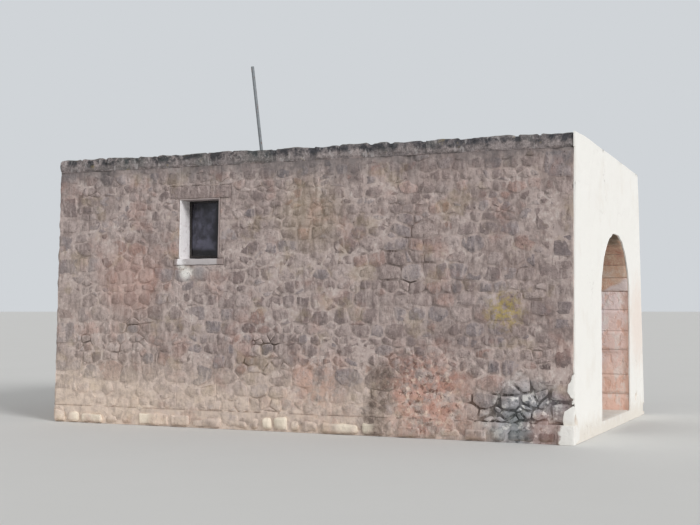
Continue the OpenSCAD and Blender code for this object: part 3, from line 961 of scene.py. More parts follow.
class WallFace:
    """An outer wall face: its axes, its outline and the places that stones keep clear of."""

    def __init__(self, foot, along, lean, left, right, top, seed):
        out = along.cross(UP)
        tilt = math.atan(lean)
        up = UP * math.cos(tilt) - out * math.sin(tilt)
        across = out * math.cos(tilt) + UP * math.sin(tilt)
        self.axes = Matrix.Translation(foot) @ Matrix((along, up, across)).transposed().to_4x4()
        self.rise = 1.0 / math.cos(tilt)
        self.left, self.right = left, right
        self.low, self.high = RUBBLE_FROM * self.rise, top * self.rise
        self.seed = seed
        self.limits = []
        self.limit((0, self.low, 0), (0, -1, 0))
        self.limit((0, self.high, 0), (0, 1, 0))
        self.limit((left, 0, 0), (-1, 0, 0))
        self.limit((right, 0, 0), (1, 0, 0))
        self.kept_clear = []

    def limit(self, place, normal):
        """Ends the stones at a line through a place of the face."""
        self.limits.append((Vector(place), Vector(normal).normalized()))

    def keep_clear(self, left, right, low, high):
        """Keeps stones out of a rectangle, its heights given as levels above the ground."""
        self.kept_clear.append((left, right, low * self.rise, high * self.rise))


def wall_faces():
    """The three rubble faces with their openings, before the corner stones."""
    front = WallFace(Vector((0, FRONT_Y, 0)), Vector((1, 0, 0)), FRONT_LEAN, X_FAR, X_ARCH,
                     FRONT_TOP, 11)
    rear = WallFace(Vector((0, REAR_Y, 0)), Vector((-1, 0, 0)), REAR_LEAN, -X_ARCH, -X_FAR,
                    REAR_TOP, 12)
    gable_low, gable_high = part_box("far_end_gable")
    far = WallFace(Vector((X_FAR, 0, 0)), Vector((0, -1, 0)), 0.0, -REAR_Y, -FRONT_Y,
                   gable_high.z, 13)
    del far.limits[1:]
    far.limit((-gable_low.y, gable_high.z, 0), (-ROOF_FALL, 1, 0))
    far.limit((-FRONT_Y, 0, 0), (1, FRONT_LEAN, 0))
    far.limit((-REAR_Y, 0, 0), (-1, REAR_LEAN, 0))
    for node in ("window_lintel", "window_sill", "window_frame"):
        low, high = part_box(node)
        front.keep_clear(low.x, high.x, low.z, high.z)
    return front, rear, far


CORNER_LOW, CORNER_HIGH = 0.16, 0.33
HIDDEN_CORNER_DEPTH = 0.2
CORNER_SPACING = 0.05
CORNER_SLANT = 0.16
LONG_SPREAD = (0.75, 1.2)
SHORT_SPREAD = (0.8, 1.35)
CORNER_ROUNDING = (0.022, 0.036)
CORNER_WEAR = 0.022
CORNER_TONES = (0.1, 0.65)
CORNER_TINTS = (0.08, 1.0)
BARE_TOP, BARE_LENGTH, BARE_WEAR = 0.6, 0.27, 1.6
PAST_FACE = 2.0


def corner_stones(work, front, rear, far):
    """Lays the squared stones of the four corners and keeps the rubble clear of them."""
    s = sizes()
    rng = random.Random(41)
    corners = ((front, front_y, 1, True, FRONT_TOP), (front, front_y, 1, False, FRONT_TOP),
               (rear, rear_y, -1, True, REAR_TOP), (rear, rear_y, -1, False, REAR_TOP))
    for face, face_y, inward, at_far_end, top in corners:
        z = FOOTING_TOP
        turn = rng.random() < 0.5
        while z < top - 0.02:
            height = rng.uniform(CORNER_LOW, CORNER_HIGH)
            if top - z - height < CORNER_LOW * 0.7:
                height = top - z
            long = s.quoin_long * rng.uniform(*LONG_SPREAD)
            short = s.quoin_short * rng.uniform(*SHORT_SPREAD)
            along, deep = (long, short) if turn else (short, long)
            if not at_far_end:
                deep = HIDDEN_CORNER_DEPTH
                along = min(along, BARE_LENGTH) if z < BARE_TOP else along
            x0 = X_FAR - s.stand_out if at_far_end else X_ARCH - along
            y0 = -s.stand_out if inward > 0 else s.stand_out - deep
            low = Vector((x0, y0, z + s.joint))
            high = Vector((x0 + along, y0 + deep, z + height - s.joint))
            wear = BARE_WEAR if face is front and not at_far_end and z < BARE_TOP else 1.0
            block = rough_block(low, high, rng.uniform(*CORNER_ROUNDING) * wear, CORNER_SPACING,
                                CORNER_WEAR * wear, rng.uniform(0, SEEDS))
            slant = either_way(rng, CORNER_SLANT)
            for vert in block.verts:
                inner = (vert.co.x - x0) / along
                inner = inner if at_far_end else 1 - inner
                vert.co.x += slant * inner * (vert.co.z - z - height / 2)
                vert.co.y += face_y(vert.co.z)
            work.add(block, rng.uniform(*CORNER_TONES), rng.uniform(*CORNER_TINTS))
            side = 1 if face is front else -1
            room = abs(slant) * height / 2
            face.keep_clear(*sorted((side * (x0 - room), side * (x0 + along + room))), z, z + height)
            if at_far_end:
                edge = face_y(z + height / 2) + inward * deep
                far.keep_clear(*sorted((-edge, -edge + inward * PAST_FACE)), z, z + height)
            z += height
            turn = not turn


COURSE_SPREAD = (0.68, 1.38)
LENGTH_SPREAD = (0.75, 1.95)
LEVEL_SPREAD = (0.38, 0.62)
WEIGHT_SPREAD = (0.3, 1.6)
LEAD_IN, RUN_OUT = 0.3, 0.1
BARE_FROM = 0.2
BARE_ASIDE, BARE_UP = 0.09, 0.07
BARE_WEIGHTS = (0.3, 1.0)
PIN_ASIDE = 0.02
PIN_SIZES = (0.028, 0.042)
STRETCH = 0.72
WEIGHT = 0.7
PIN_SHARE = 0.30
SMALLEST = 0.0013
LONGEST = 0.62
REACH = 0.42
MOST_NEIGHBOURS = 26
LEAST_INSIDE = 0.012
STONE_SPACING = 0.055


def either_way(rng, most):
    """A random step of up to a length, to one side or the other."""
    return rng.uniform(-most, most)


def stone_sites(face, rng):
    """Middles and weights of the stones of a face, laid in rough wandering courses."""
    s = sizes()
    sites = []
    v = face.low
    course = 0
    while v < face.high:
        mean = s.foot_course if v < s.foot_band else s.course
        height = mean * rng.uniform(*COURSE_SPREAD)
        u = face.left - rng.uniform(0.0, LEAD_IN)
        while u < face.right + RUN_OUT:
            length = height * rng.uniform(*LENGTH_SPREAD)
            swing = s.wander * noise.noise(Vector((u * 0.8, course * 2.7, face.seed)))
            middle = Vector((u + length / 2, v + height * rng.uniform(*LEVEL_SPREAD) + swing, 0))
            weight = WEIGHT * ((length * STRETCH / 2) ** 2 + (height / 2) ** 2) / 2
            weight *= rng.uniform(*WEIGHT_SPREAD)
            sites.append((middle, weight))
            bare = bareness(face.axes @ middle)
            if bare > BARE_FROM:
                aside = Vector((either_way(rng, BARE_ASIDE), either_way(rng, BARE_UP), 0))
                sites.append((middle + aside, weight * rng.uniform(*BARE_WEIGHTS)))
            if rng.random() < PIN_SHARE + bare * 0.3:
                pin = Vector((u + either_way(rng, PIN_ASIDE), v + either_way(rng, PIN_ASIDE) + swing, 0))
                sites.append((pin, rng.uniform(*PIN_SIZES) ** 2))
            u += length
        v += height
        course += 1
    return sites


def cut_back(bm, distance, direction):
    """Cuts a flat outline along a line at a distance from its middle."""
    bmesh.ops.bisect_plane(bm, geom=everything(bm), plane_co=direction * distance,
                           plane_no=direction, clear_outer=True)


def stone_outline(face, middle, weight, neighbours, gap):
    """A stone's flat outline: a square cut back by its neighbours and the face's limits."""
    bm = bmesh.new()
    bmesh.ops.create_grid(bm, x_segments=1, y_segments=1, size=LONGEST / 2)
    for place, normal in face.limits:
        room = (place - middle).dot(normal)
        if room < LONGEST:
            cut_back(bm, room, normal)
    for left, right, low, high in face.kept_clear:
        room, x, y = max((middle.x - right, -1, 0), (left - middle.x, 1, 0),
                         (middle.y - high, 0, -1), (low - middle.y, 0, 1))
        if room < LONGEST:
            cut_back(bm, room - gap, Vector((x, y, 0)))
    for other, other_weight in neighbours:
        step = other - middle
        normal = Vector((step.x * STRETCH ** 2, step.y, 0))
        power = STRETCH ** 2 * step.x ** 2 + step.y ** 2 + weight - other_weight
        cut_back(bm, power / 2 / normal.length - gap, normal.normalized())
    return bm


def widest_inset(face, wanted):
    """The widest inset of a face, up to the one wanted, that turns none of its edges over."""
    widest = wanted
    for loop in face.loops:
        corners = (loop, loop.link_loop_next)
        shrinkage = sum(math.tan((math.pi - corner.calc_angle()) / 2) for corner in corners)
        widest = min(widest, 0.9 * loop.edge.calc_length() / max(shrinkage, 0.01))
    return widest


SMOOTHING = (0.0, 0.4)
SHORTEST_EDGE = 0.009
OUTLINE_WANDER = 0.006
OUTLINE_SCALE = 16.0
ARRIS_SHARE, BARE_ARRIS_SHARE = 0.12, 0.08
SPACING_SPREAD = 0.15
PROUD = (0.0, 0.014, 0.002)
SWELL_SCALE = 9.0
ARRIS_DEPTH = 0.75
TILT = 0.05
MEAN_SWELL = 0.65


def stone_from_outline(bm, rng, place, seed, bare):
    """Gives a flat outline its depth, worn arrises and an uneven face that stays in the wall."""
    s = sizes()
    bmesh.ops.bisect_edges(bm, edges=bm.edges[:], cuts=2)
    bmesh.ops.smooth_vert(bm, verts=bm.verts[:], factor=rng.uniform(*SMOOTHING), use_axis_x=True,
                          use_axis_y=True)
    for vert in bm.verts:
        here = (vert.co + place) * OUTLINE_SCALE
        vert.co.x += OUTLINE_WANDER * noise.noise(here + Vector((seed, 0, 0)))
        vert.co.y += OUTLINE_WANDER * noise.noise(here + Vector((0, seed, 9.0)))
    bmesh.ops.remove_doubles(bm, verts=bm.verts[:], dist=SHORTEST_EDGE)
    bmesh.ops.delete(bm, geom=[vert for vert in bm.verts if not vert.link_faces], context="VERTS")
    raised = [part for part in bmesh.ops.extrude_face_region(bm, geom=bm.faces[:])["geom"]
              if isinstance(part, bmesh.types.BMFace)]
    bmesh.ops.translate(bm, verts=raised[0].verts[:], vec=(0, 0, s.stone_depth))
    share = ARRIS_SHARE + BARE_ARRIS_SHARE * bare
    arris = min(s.arris * (1.0 + bare), share * math.sqrt(raised[0].calc_area()))
    bmesh.ops.inset_individual(bm, faces=raised, thickness=widest_inset(raised[0], arris),
                               depth=arris * ARRIS_DEPTH)
    geometry = around(raised)
    for axis in (0, 1):
        normal = AXES[axis]
        low, high = span(raised[0].verts, axis)
        steps = max(1, round((high - low) / STONE_SPACING))
        for i in range(1, steps):
            at = normal * (low + (high - low) * (i + either_way(rng, SPACING_SPREAD)) / steps)
            geometry = bmesh.ops.bisect_plane(bm, geom=geometry, plane_co=at, plane_no=normal)["geom"]
    top = s.stone_depth + arris * ARRIS_DEPTH
    lean = Matrix.Rotation(rng.gauss(0, TILT), 4, "X") @ Matrix.Rotation(rng.gauss(0, TILT), 4, "Y")
    proud = rng.triangular(*PROUD)
    for vert in bm.verts:
        if vert.co.z > s.stone_depth * 0.5:
            swell = uneven(vert.co + place, SWELL_SCALE, seed) - MEAN_SWELL
            vert.co.z += s.bulge * (1.0 + bare) * swell * (1.0 if vert.co.z > top - 1e-4 else 0.5)
        vert.co = lean @ vert.co
        vert.co.z = min(vert.co.z - top - proud, 0.0) + s.stand_out
    bmesh.ops.recalc_face_normals(bm, faces=bm.faces[:])
    return bm


JOINT_SPREAD = (0.7, 1.7)
TONES = (0.0, 1.0, 0.45)
STONE_SEEDS = 60
BARE_GREY_FROM = 0.5
RED_UP_TO = 0.12


def lay_rubble(face, name, finish):
    """Lays all the stones of one face as one piece."""
    s = sizes()
    rng = random.Random(face.seed)
    sites = stone_sites(face, rng)
    tree = kdtree.KDTree(len(sites))
    for i, (middle, weight) in enumerate(sites):
        tree.insert(Vector((middle.x * STRETCH, middle.y, 0)), i)
    tree.balance()
    work = Stonework()
    for i, (middle, weight) in enumerate(sites):
        bare = bareness(face.axes @ middle)
        gap = s.joint * rng.uniform(*JOINT_SPREAD) * (1.0 + 0.5 * bare)
        seed, tone, tint = rng.uniform(0, STONE_SEEDS), rng.triangular(*TONES), rng.random()
        inside = min((place - middle).dot(normal) for place, normal in face.limits)
        if inside < LEAST_INSIDE:
            continue
        found = tree.find_range(Vector((middle.x * STRETCH, middle.y, 0)), REACH)
        neighbours = [sites[j] for _, j, _ in sorted(found, key=lambda item: item[2]) if j != i]
        outline = stone_outline(face, middle, weight, neighbours[:MOST_NEIGHBOURS], gap)
        if not outline.faces or outline.faces[:][0].calc_area() < SMALLEST:
            outline.free()
            continue
        if bare > BARE_GREY_FROM:
            tone = tone * 2.0 - 0.5
            tint = tint if tint <= RED_UP_TO else tint * 0.5 + 0.5
        stone = stone_from_outline(outline, rng, middle, seed, bare)
        stone.transform(face.axes @ Matrix.Translation(middle))
        work.add(stone, min(max(tone, 0.0), 1.0), tint)
    work.piece(name, finish, "rubble_masonry", sharp=48.0)


BARE_STRETCH = Vector((0.62, 1.0, 1.1))
BARE_REACH, BARE_FADE = 0.52, 0.14
ON_FACE = 0.0015
BED_SPACING = 0.036


def bareness(place):
    """How far the pointing is gone round the foot of the near corner, from 0 to 1."""
    far = (place - Vector(BARE_PATCH)) * BARE_STRETCH
    edge = far.length + 0.16 * noise.noise(place * 5.0)
    return min(1.0, max(0.0, (BARE_REACH - edge) / BARE_FADE))


def washed_out(place):
    """How far the mortar has gone from a joint at a place, from 0 to 1."""
    patch = uneven(place, 1.1, 4)
    fine = uneven(place, 7.0, 5)
    return min(1.0, max(0.0, 1.25 * patch * fine - 0.15) + bareness(place))


def faces_at(place):
    """The ways into the wall from the rubble faces that a point lies on."""
    ways = ((place.y - front_y(place.z), AXES[1]), (place.y - rear_y(place.z), -AXES[1]),
            (place.x - X_FAR, AXES[0]))
    return [way for distance, way in ways if abs(distance) < ON_FACE]


def mortar_bed(name, nodes, finishes):
    """The body of a rubble wall: its outer faces set back behind the stones and made uneven."""
    s = sizes()
    whole = bmesh.new()
    depth_shading = []
    for node in nodes:
        bm = merged_copy(node)
        outer = [face for face in bm.faces
                 if any(face.normal.dot(way) < -0.9 for way in faces_at(face.calc_center_median()))]
        for face in outer:
            face.material_index = 1
        dice_on_grid(bm, BED_SPACING, around(outer))
        for vert in bm.verts:
            gone = washed_out(vert.co)
            wander = uneven(vert.co, 8.0, 14) - 0.5
            depth = s.bed_back + s.bed_uneven * wander + s.bed_wash * (gone + bareness(vert.co))
            # How full each joint is, kept for the mortar's colour: the deeper joints get earth colour and
            # painted shade.
            depth_shading.append(1.0 - gone)
            vert.co += sum(faces_at(vert.co), Vector((0, 0, 0))) * depth
        pour(whole, bm)
    piece = make_piece(name, whole, finishes, nodes, sharp=60.0)
    paint(piece, "tone", depth_shading)


PLASTER_CHIPS = [(Vector((X_PLASTER, y, z)), radius) for y, z, radius in (
    (-2.13, 0.29, 0.05), (-2.06, 0.25, 0.035), (1.53, 0.30, 0.045),
    (1.60, 0.34, 0.03), (2.13, 0.10, 0.06), (-2.17, 0.02, 0.05))]
PLASTER_LAP = X_PLASTER - X_ARCH - 0.003
RAGGED_EDGE = 0.009
RAGGED_DOOR = 0.016
EDGE_BAND = 0.09
TORN_SIDE = 0.02
TONGUE_DROP = 0.02


def apply_cut(piece, cutter):
    """Cuts one mesh out of another for good and removes the cutter."""
    cut = piece.modifiers.new("cut", "BOOLEAN")
    cut.operation = "DIFFERENCE"
    cut.solver = "EXACT"
    cut.object = cutter
    graph = bpy.context.evaluated_depsgraph_get()
    mesh = bpy.data.meshes.new_from_object(piece.evaluated_get(graph))
    piece.modifiers.clear()
    piece.data = mesh
    bpy.data.objects.remove(cutter)


def from_doorway(place):
    """Direction away from the doorway's outline within the wall's face, and the distance to it."""
    if place.z > SPRINGING:
        spoke = Vector((0, place.y - DOOR_MIDDLE, place.z - ARCH_LEVEL))
        return spoke.normalized(), spoke.length - ARCH_RADIUS
    side = 1 if place.y > DOOR_MIDDLE else -1
    return Vector((0, side, 0)), side * (place.y - DOOR_MIDDLE) - DOOR_HALF


def chip_cutter():
    """Ragged lumps that break pieces out of the plaster."""
    bm = bmesh.new()
    for i, (centre, radius) in enumerate(PLASTER_CHIPS):
        lump = bmesh.ops.create_icosphere(bm, subdivisions=2, radius=radius)["verts"]
        for vert in lump:
            vert.co *= 0.75 + 0.5 * uneven(vert.co, 22.0, i + 2)
        bmesh.ops.scale(bm, vec=(0.8, 0.9, 1.5), verts=lump)
        bmesh.ops.translate(bm, vec=centre, verts=lump)
    return placed("chips", mesh_of(bm, "chips"))


# Operators


def set_finish(node, material):
    """Gives a solid of the frame another material."""
    mesh = NODES[node].data
    mesh.materials.clear()
    mesh.materials.append(material)


class HOUSE_OT_room(bpy.types.Operator):
    """Finish the room: the vault, the passage of the window and the backs of the end wall"""

    bl_idname = "house.room"
    bl_label = "Room and vault"

    def execute(self, context):
        """Gives the solids that stay their materials."""
        room = (
            (limewash_finish(), ("arch_end_pier", "arch_end_head")),
            (vault_finish(), ("vault_front_haunch", "vault_rear_haunch", "vault_crown", "window_lunette")),
            (earth_finish(), ("roof_fill",)),
        )
        for finish, nodes in room:
            for node in nodes:
                set_finish(node, finish)
        return {"FINISHED"}


class HOUSE_OT_rubble(bpy.types.Operator):
    """Lay the rubble stones, corner stones and mortar of the front, rear and far walls"""

    bl_idname = "house.rubble"
    bl_label = "Rubble walls"

    def execute(self, context):
        """Lays the corners first, so that the rubble keeps clear of them."""
        stone = rubble_finish()
        beds = [limewash_finish("room_wash"), mortar_finish()]
        front, rear, far = wall_faces()
        corners = Stonework()
        corner_stones(corners, front, rear, far)
        corners.piece("corner_stones", stone, "rubble_masonry")
        lay_rubble(front, "front_wall_stones", stone)
        lay_rubble(rear, "rear_wall_stones", stone)
        lay_rubble(far, "far_end_stones", stone)
        mortar_bed("front_wall_bed", ["front_wall_near", "front_wall_far", "front_wall_below_window",
                                      "front_wall_above_window"], beds)
        mortar_bed("rear_wall_bed", ["rear_wall"], beds)
        mortar_bed("far_end_bed", ["far_end_wall", "far_end_gable"], beds)
        return {"FINISHED"}


BLOCK_SPACING = 0.045
# Each footing with the axis across it and the way into the wall along that axis
FOOTINGS = (("front_footing", 1, 1), ("rear_footing", 1, -1), ("far_end_footing", 0, 1))
BED_BACK = 0.05
BED_ENDS = 0.02
BOULDER_LENGTHS = (0.15, 0.42)
SHORTEST_BOULDER = 0.13
BOULDER_GAP = 0.004
SETTLING = (0.0, 0.13, 0.03)
BOULDER_ROUNDING = (0.035, 0.06)
BOULDER_WEAR = 0.035
BOULDER_TILT = 0.5
BOULDER_TAPER = 0.25


class HOUSE_OT_footing(bpy.types.Operator):
    """Set the worn boulders of the footing along the ground"""

    bl_idname = "house.footing"
    bl_label = "Footing stones"

    def execute(self, context):
        """Makes a few worn boulders of each block of the footings, on a bed of earth."""
        finish = footing_finish()
        earth = packed_finish("footing_joints", srgb(184, 168, 161), True)
        rng = random.Random(51)
        for node, across, inward in FOOTINGS:
            work = Stonework()
            for low, high in blocks_of(node):
                self.boulders(work, node, low, high, 1 - across, rng)
            work.piece(node + "_stones", finish, "footing_stone", [node], 50.0)
            low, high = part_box(node)
            ends = AXES[1 - across] * BED_ENDS
            back = AXES[across] * BED_BACK
            if inward > 0:
                low = low + back
            else:
                high = high - back
            bed_between(node + "_bed", low + ends, high - ends, earth)
        return {"FINISHED"}

    def boulders(self, work, node, low, high, along, rng):
        """Divides one block of a footing into boulders, the last of the front one under plaster."""
        lengths = divided(low[along], high[along], SHORTEST_BOULDER,
                          lambda: rng.uniform(*BOULDER_LENGTHS))
        for start, end in lengths:
            first, last = low.copy(), high.copy()
            first[along], last[along] = start + BOULDER_GAP, end - BOULDER_GAP
            if last.x > X_ARCH - 0.02 and node == "front_footing":
                last.x = X_ARCH + PLASTER_LAP
                stone = rough_block(first, last, 0.006, BLOCK_SPACING, 0.004, 3)
            else:
                stone = boulder(first, last, along, rng)
            work.add(stone, rng.random(), rng.random())


def boulder(low, high, along, rng):
    """A rounded, lopsided stone that stays within two corners and is narrower at its top."""
    settled = high.copy()
    settled.z -= rng.triangular(*SETTLING)
    block = rough_block(low, settled, rng.uniform(*BOULDER_ROUNDING), BLOCK_SPACING, BOULDER_WEAR,
                        rng.uniform(0, SEEDS))
    middle = (low[along] + high[along]) / 2
    tilt, taper = either_way(rng, BOULDER_TILT), rng.uniform(0.0, BOULDER_TAPER)
    for vert in block.verts:
        aside = vert.co[along] - middle
        vert.co[along] = middle + aside * (1.0 - taper * (vert.co.z / high.z) ** 2)
        vert.co.z = min(vert.co.z * (1.0 + tilt * aside), high.z)
    return block


COPING_SPLIT = 0.6
SPLIT_AT = (0.3, 0.7)
COPING_ROUNDING = (0.024, 0.05)
COPING_WEAR = 0.032
COPING_GAP = 0.002
COPING_BED_BACK = Vector((0.03, 0.022, 0.03))
SLOPING_LENGTHS = (0.34, 0.66)
SHORTEST_SLOPING = 0.3


class HOUSE_OT_coping(bpy.types.Operator):
    """Set the lichened coping stones of the front, rear and far walls"""

    bl_idname = "house.coping"
    bl_label = "Coping stones"

    def execute(self, context):
        """Makes worn blocks of the straight copings and cuts the sloping one into stones."""
        finish = lichened_finish()
        rng = random.Random(61)
        for node in ("front_coping", "rear_coping"):
            self.straight(node, finish, rng)
        self.sloping("far_end_coping", finish, rng)
        return {"FINISHED"}

    def straight(self, node, finish, rng):
        """Worn blocks of a straight coping, some of them split in two, over their bed."""
        work = Stonework()
        for low, high in blocks_of(node):
            cut = low.x + (high.x - low.x) * rng.uniform(*SPLIT_AT)
            ends = [(low.x, high.x)]
            if rng.random() < COPING_SPLIT:
                ends = [(low.x, cut - COPING_GAP), (cut + COPING_GAP, high.x)]
            for start, end in ends:
                if end > X_ARCH - 0.01:
                    end = X_ARCH + PLASTER_LAP / 2
                block = rough_block(Vector((start, low.y, low.z)), Vector((end, high.y, high.z)),
                                    rng.uniform(*COPING_ROUNDING), BLOCK_SPACING, COPING_WEAR,
                                    rng.uniform(0, SEEDS))
                work.add(block, rng.random(), rng.random())
        work.piece(node + "_stones", finish, "dark_coping", [node], 50.0)
        low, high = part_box(node)
        foot = low + COPING_BED_BACK * Vector((1, 1, 0))
        bed_between(node + "_bed", foot, high - COPING_BED_BACK, finish)

    def sloping(self, node, finish, rng):
        """Stones cut from the sloping coping by upright planes, over their bed."""
        work = Stonework()
        low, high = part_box(node)
        lengths = divided(low.y, high.y, SHORTEST_SLOPING, lambda: rng.uniform(*SLOPING_LENGTHS))
        for start, end in lengths:
            block = merged_copy(node)
            for place, side in ((start + 2 * COPING_GAP, -1), (end - 2 * COPING_GAP, 1)):
                cut_away(block, AXES[1] * place, AXES[1] * side)
            worn(block, 0.024, 0.05, 0.024, 6.0, rng.uniform(0, SEEDS))
            work.add(block, rng.random(), rng.random())
        work.piece(node + "_stones", finish, "dark_coping", [node], 50.0)
        bed = merged_copy(node)
        set_back(bed, 0.03)
        make_piece(node + "_bed", bed, [finish])


class HOUSE_OT_plaster(bpy.types.Operator):
    """Coat the arched end, its kerb and the near corner with lime plaster"""

    bl_idname = "house.plaster"
    bl_label = "Lime plaster"

    def execute(self, context):
        """Makes the coats uneven and breaks the chips out of the large one."""
        finish = plaster_finish()
        coat = merged_copy("arch_end_plaster")
        dice(coat, 0.05)
        self.tear_edges(coat)
        wear_down(coat, 0.006, 1.6, 3)
        wear_down(coat, 0.003, 8.0, 4)
        piece = make_piece("arch_end_coat", coat, [finish], ["arch_end_plaster"], 45.0)
        apply_cut(piece, chip_cutter())
        make_piece("plaster_tongue", self.tongue(), [finish],
                   ["plaster_corner_return"], 45.0)
        kerb = worn(merged_copy("arch_end_coping"), 0.018, 0.07, 0.008, 2.5, 9, 3)
        make_piece("plastered_kerb", kerb, [finish], ["arch_end_coping"], 45.0)
        return {"FINISHED"}

    def tear_edges(self, coat):
        """Makes the coat's upright edge at the corner and its edge round the doorway ragged."""
        tongue_top = highest("plaster_corner_return").z
        for vert in coat.verts:
            near_edge = 1.0 - (vert.co.y - front_y(vert.co.z)) / EDGE_BAND
            edge_place = Vector((vert.co.x, 0, vert.co.z))
            free = min(1.0, max(0.0, (vert.co.z - tongue_top) / EDGE_BAND))
            vert.co.y += RAGGED_EDGE * free * max(near_edge, 0.0) * uneven(edge_place, 6.0, 8)
            away, distance = from_doorway(vert.co)
            share = max(0.0, 1.0 - abs(distance) / EDGE_BAND)
            if vert.co.z > THRESHOLD_TOP + 0.01:
                face_place = Vector((0, vert.co.y, vert.co.z))
                vert.co += away * RAGGED_DOOR * share * uneven(face_place, 9.0, 15)

    def tongue(self):
        """The plaster turned round the near corner, torn at its side and lapped over the coat."""
        tongue = merged_copy("plaster_corner_return")
        round_edges(tongue, 0.006)
        dice(tongue, 0.025)
        for vert in tongue.verts:
            if vert.co.x < X_ARCH - 0.01:
                vert.co.x += TORN_SIDE * uneven(vert.co, 13.0, 6)
            if vert.co.z < FOOTING_TOP + 0.01:
                vert.co.z -= TONGUE_DROP
        wear_down(tongue, 0.006, 12.0, 7)
        for vert in tongue.verts:
            if vert.co.x > X_ARCH - 0.008:
                vert.co.x += PLASTER_LAP
        return tongue


ARCH_STONES = 13
RING_JOINT = 0.005
RING_BED_BACK = 0.008
RAKED = 0.014
FILLED_TO = 0.0008
LONGEST_TURN = 0.06


class HOUSE_OT_doorway(bpy.types.Operator):
    """Build the arch ring, the jambs and the threshold of the doorway"""

    bl_idname = "house.doorway"
    bl_label = "Arched doorway"

    def execute(self, context):
        """Turns the arch stones round the arch's middle and wears the jamb blocks."""
        self.arch()
        wash = jamb_finish()
        for node in ("doorway_near_jamb", "doorway_far_jamb"):
            jamb = merged_copy(node)
            shallow_joints(jamb)
            worn(jamb, 0, 0.06, 0.007, 5.0, 21)
            make_piece(node + "_blocks", jamb, [wash], [node], 30.0)
        step = worn(merged_copy("doorway_threshold"), 0.02, 0.07, 0.014, 2.0, 23)
        make_piece("worn_threshold", step, [plaster_finish()], ["doorway_threshold"])
        return {"FINISHED"}

    def arch(self):
        """Wedge-shaped stones between the springings, over a recessed bed."""
        rng = random.Random(71)
        low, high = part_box("doorway_arch")
        inner, outer = ARCH_RADIUS, ARCH_RADIUS + high.z - CROWN
        spread = math.asin(DOOR_HALF / inner)
        step = 2 * spread / ARCH_STONES
        joint = RING_JOINT / 2 / inner
        work = Stonework()
        for i in range(ARCH_STONES):
            stone = wedge(low.x, high.x, inner, outer, spread - i * step - joint, joint * 2 - step)
            worn(stone, 0.008, 0.05, 0.008, 7.0, rng.uniform(0, SEEDS))
            work.add(stone, rng.random(), rng.random())
        work.piece("arch_stones", arch_finish(), "arch_stone", ["doorway_arch"])
        bed = wedge(low.x + 0.004, high.x, inner + RING_BED_BACK, outer, spread, -2 * spread)
        make_piece("arch_joints", bed, [packed_finish("arch_mortar", srgb(206, 176, 158))])


def shallow_joints(jamb):
    """Fills the raked bed joints of a jamb with wash, almost flush with its face."""
    for vert in jamb.verts:
        for face, into in ((DOOR_NEAR, -1), (DOOR_FAR, 1)):
            if abs((vert.co.y - face) * into - RAKED) < 0.002:
                vert.co.y = face + into * FILLED_TO


def wedge(x0, x1, inner, outer, start, turn):
    """A part of the arch's ring: its section turned about the arch's axis, above the springing."""
    bm = bmesh.new()
    bmesh.ops.create_grid(bm, x_segments=1, y_segments=1, size=0.5)
    bmesh.ops.scale(bm, vec=(x1 - x0, outer - inner, 1), verts=bm.verts[:])
    bmesh.ops.translate(bm, vec=((x0 + x1) / 2, (inner + outer) / 2, 0), verts=bm.verts[:])
    for angle in (math.pi / 2, -start):
        bmesh.ops.rotate(bm, matrix=Matrix.Rotation(angle, 3, "X"), verts=bm.verts[:])
    steps = max(2, math.ceil(abs(turn) / LONGEST_TURN))
    bmesh.ops.spin(bm, geom=everything(bm), axis=AXES[0], cent=(0, 0, 0), angle=-turn, steps=steps)
    bmesh.ops.translate(bm, vec=(0, DOOR_MIDDLE, ARCH_LEVEL), verts=bm.verts[:])
    cut_away(bm, UP * SPRINGING, -UP)
    return bm


class HOUSE_OT_window(bpy.types.Operator):
    """Build the window: lintel, sill, plastered reveal, frame and pane"""

    bl_idname = "house.window"
    bl_label = "Window"

    def execute(self, context):
        """Wears the stones and the plaster, and sets a painted frame round a dusty pane with a painted sky
        reflection.
        """
        plaster = window_plaster_finish()
        lintel = Stonework()
        lintel.add(worn(merged_copy("window_lintel"), 0.010, 0.05, 0.004, 7.0, 31), 0.4, 0.4)
        lintel.piece("lintel_stone", rubble_finish(), "rubble_masonry", ["window_lintel"])
        sill = worn(merged_copy("window_sill"), 0.014, 0.04, 0.009, 7.0, 33, 3)
        make_piece("plastered_sill", sill, [plaster], ["window_sill"], 45.0)
        reveal = worn(merged_copy("window_reveal_plaster"), 0, 0.04, 0.004, 7.0, 34)
        make_piece("plastered_reveal", reveal, [plaster], ["window_reveal_plaster"], 45.0)
        frame_members = merged_copy("window_frame")
        round_edges(frame_members, 0.004)
        make_piece("painted_frame", frame_members, [joinery_finish()], ["window_frame"])
        set_finish("window_glass", pane_finish())
        return {"FINISHED"}


FLAG_ROWS = (0.32, 0.5)
FLAG_LENGTHS = (0.7, 1.35)
NARROWEST_FLAG = 0.25
FLAG_THICKNESS = 0.045
FLAG_GAP = 0.005
FLAG_BED_DROP = 0.012


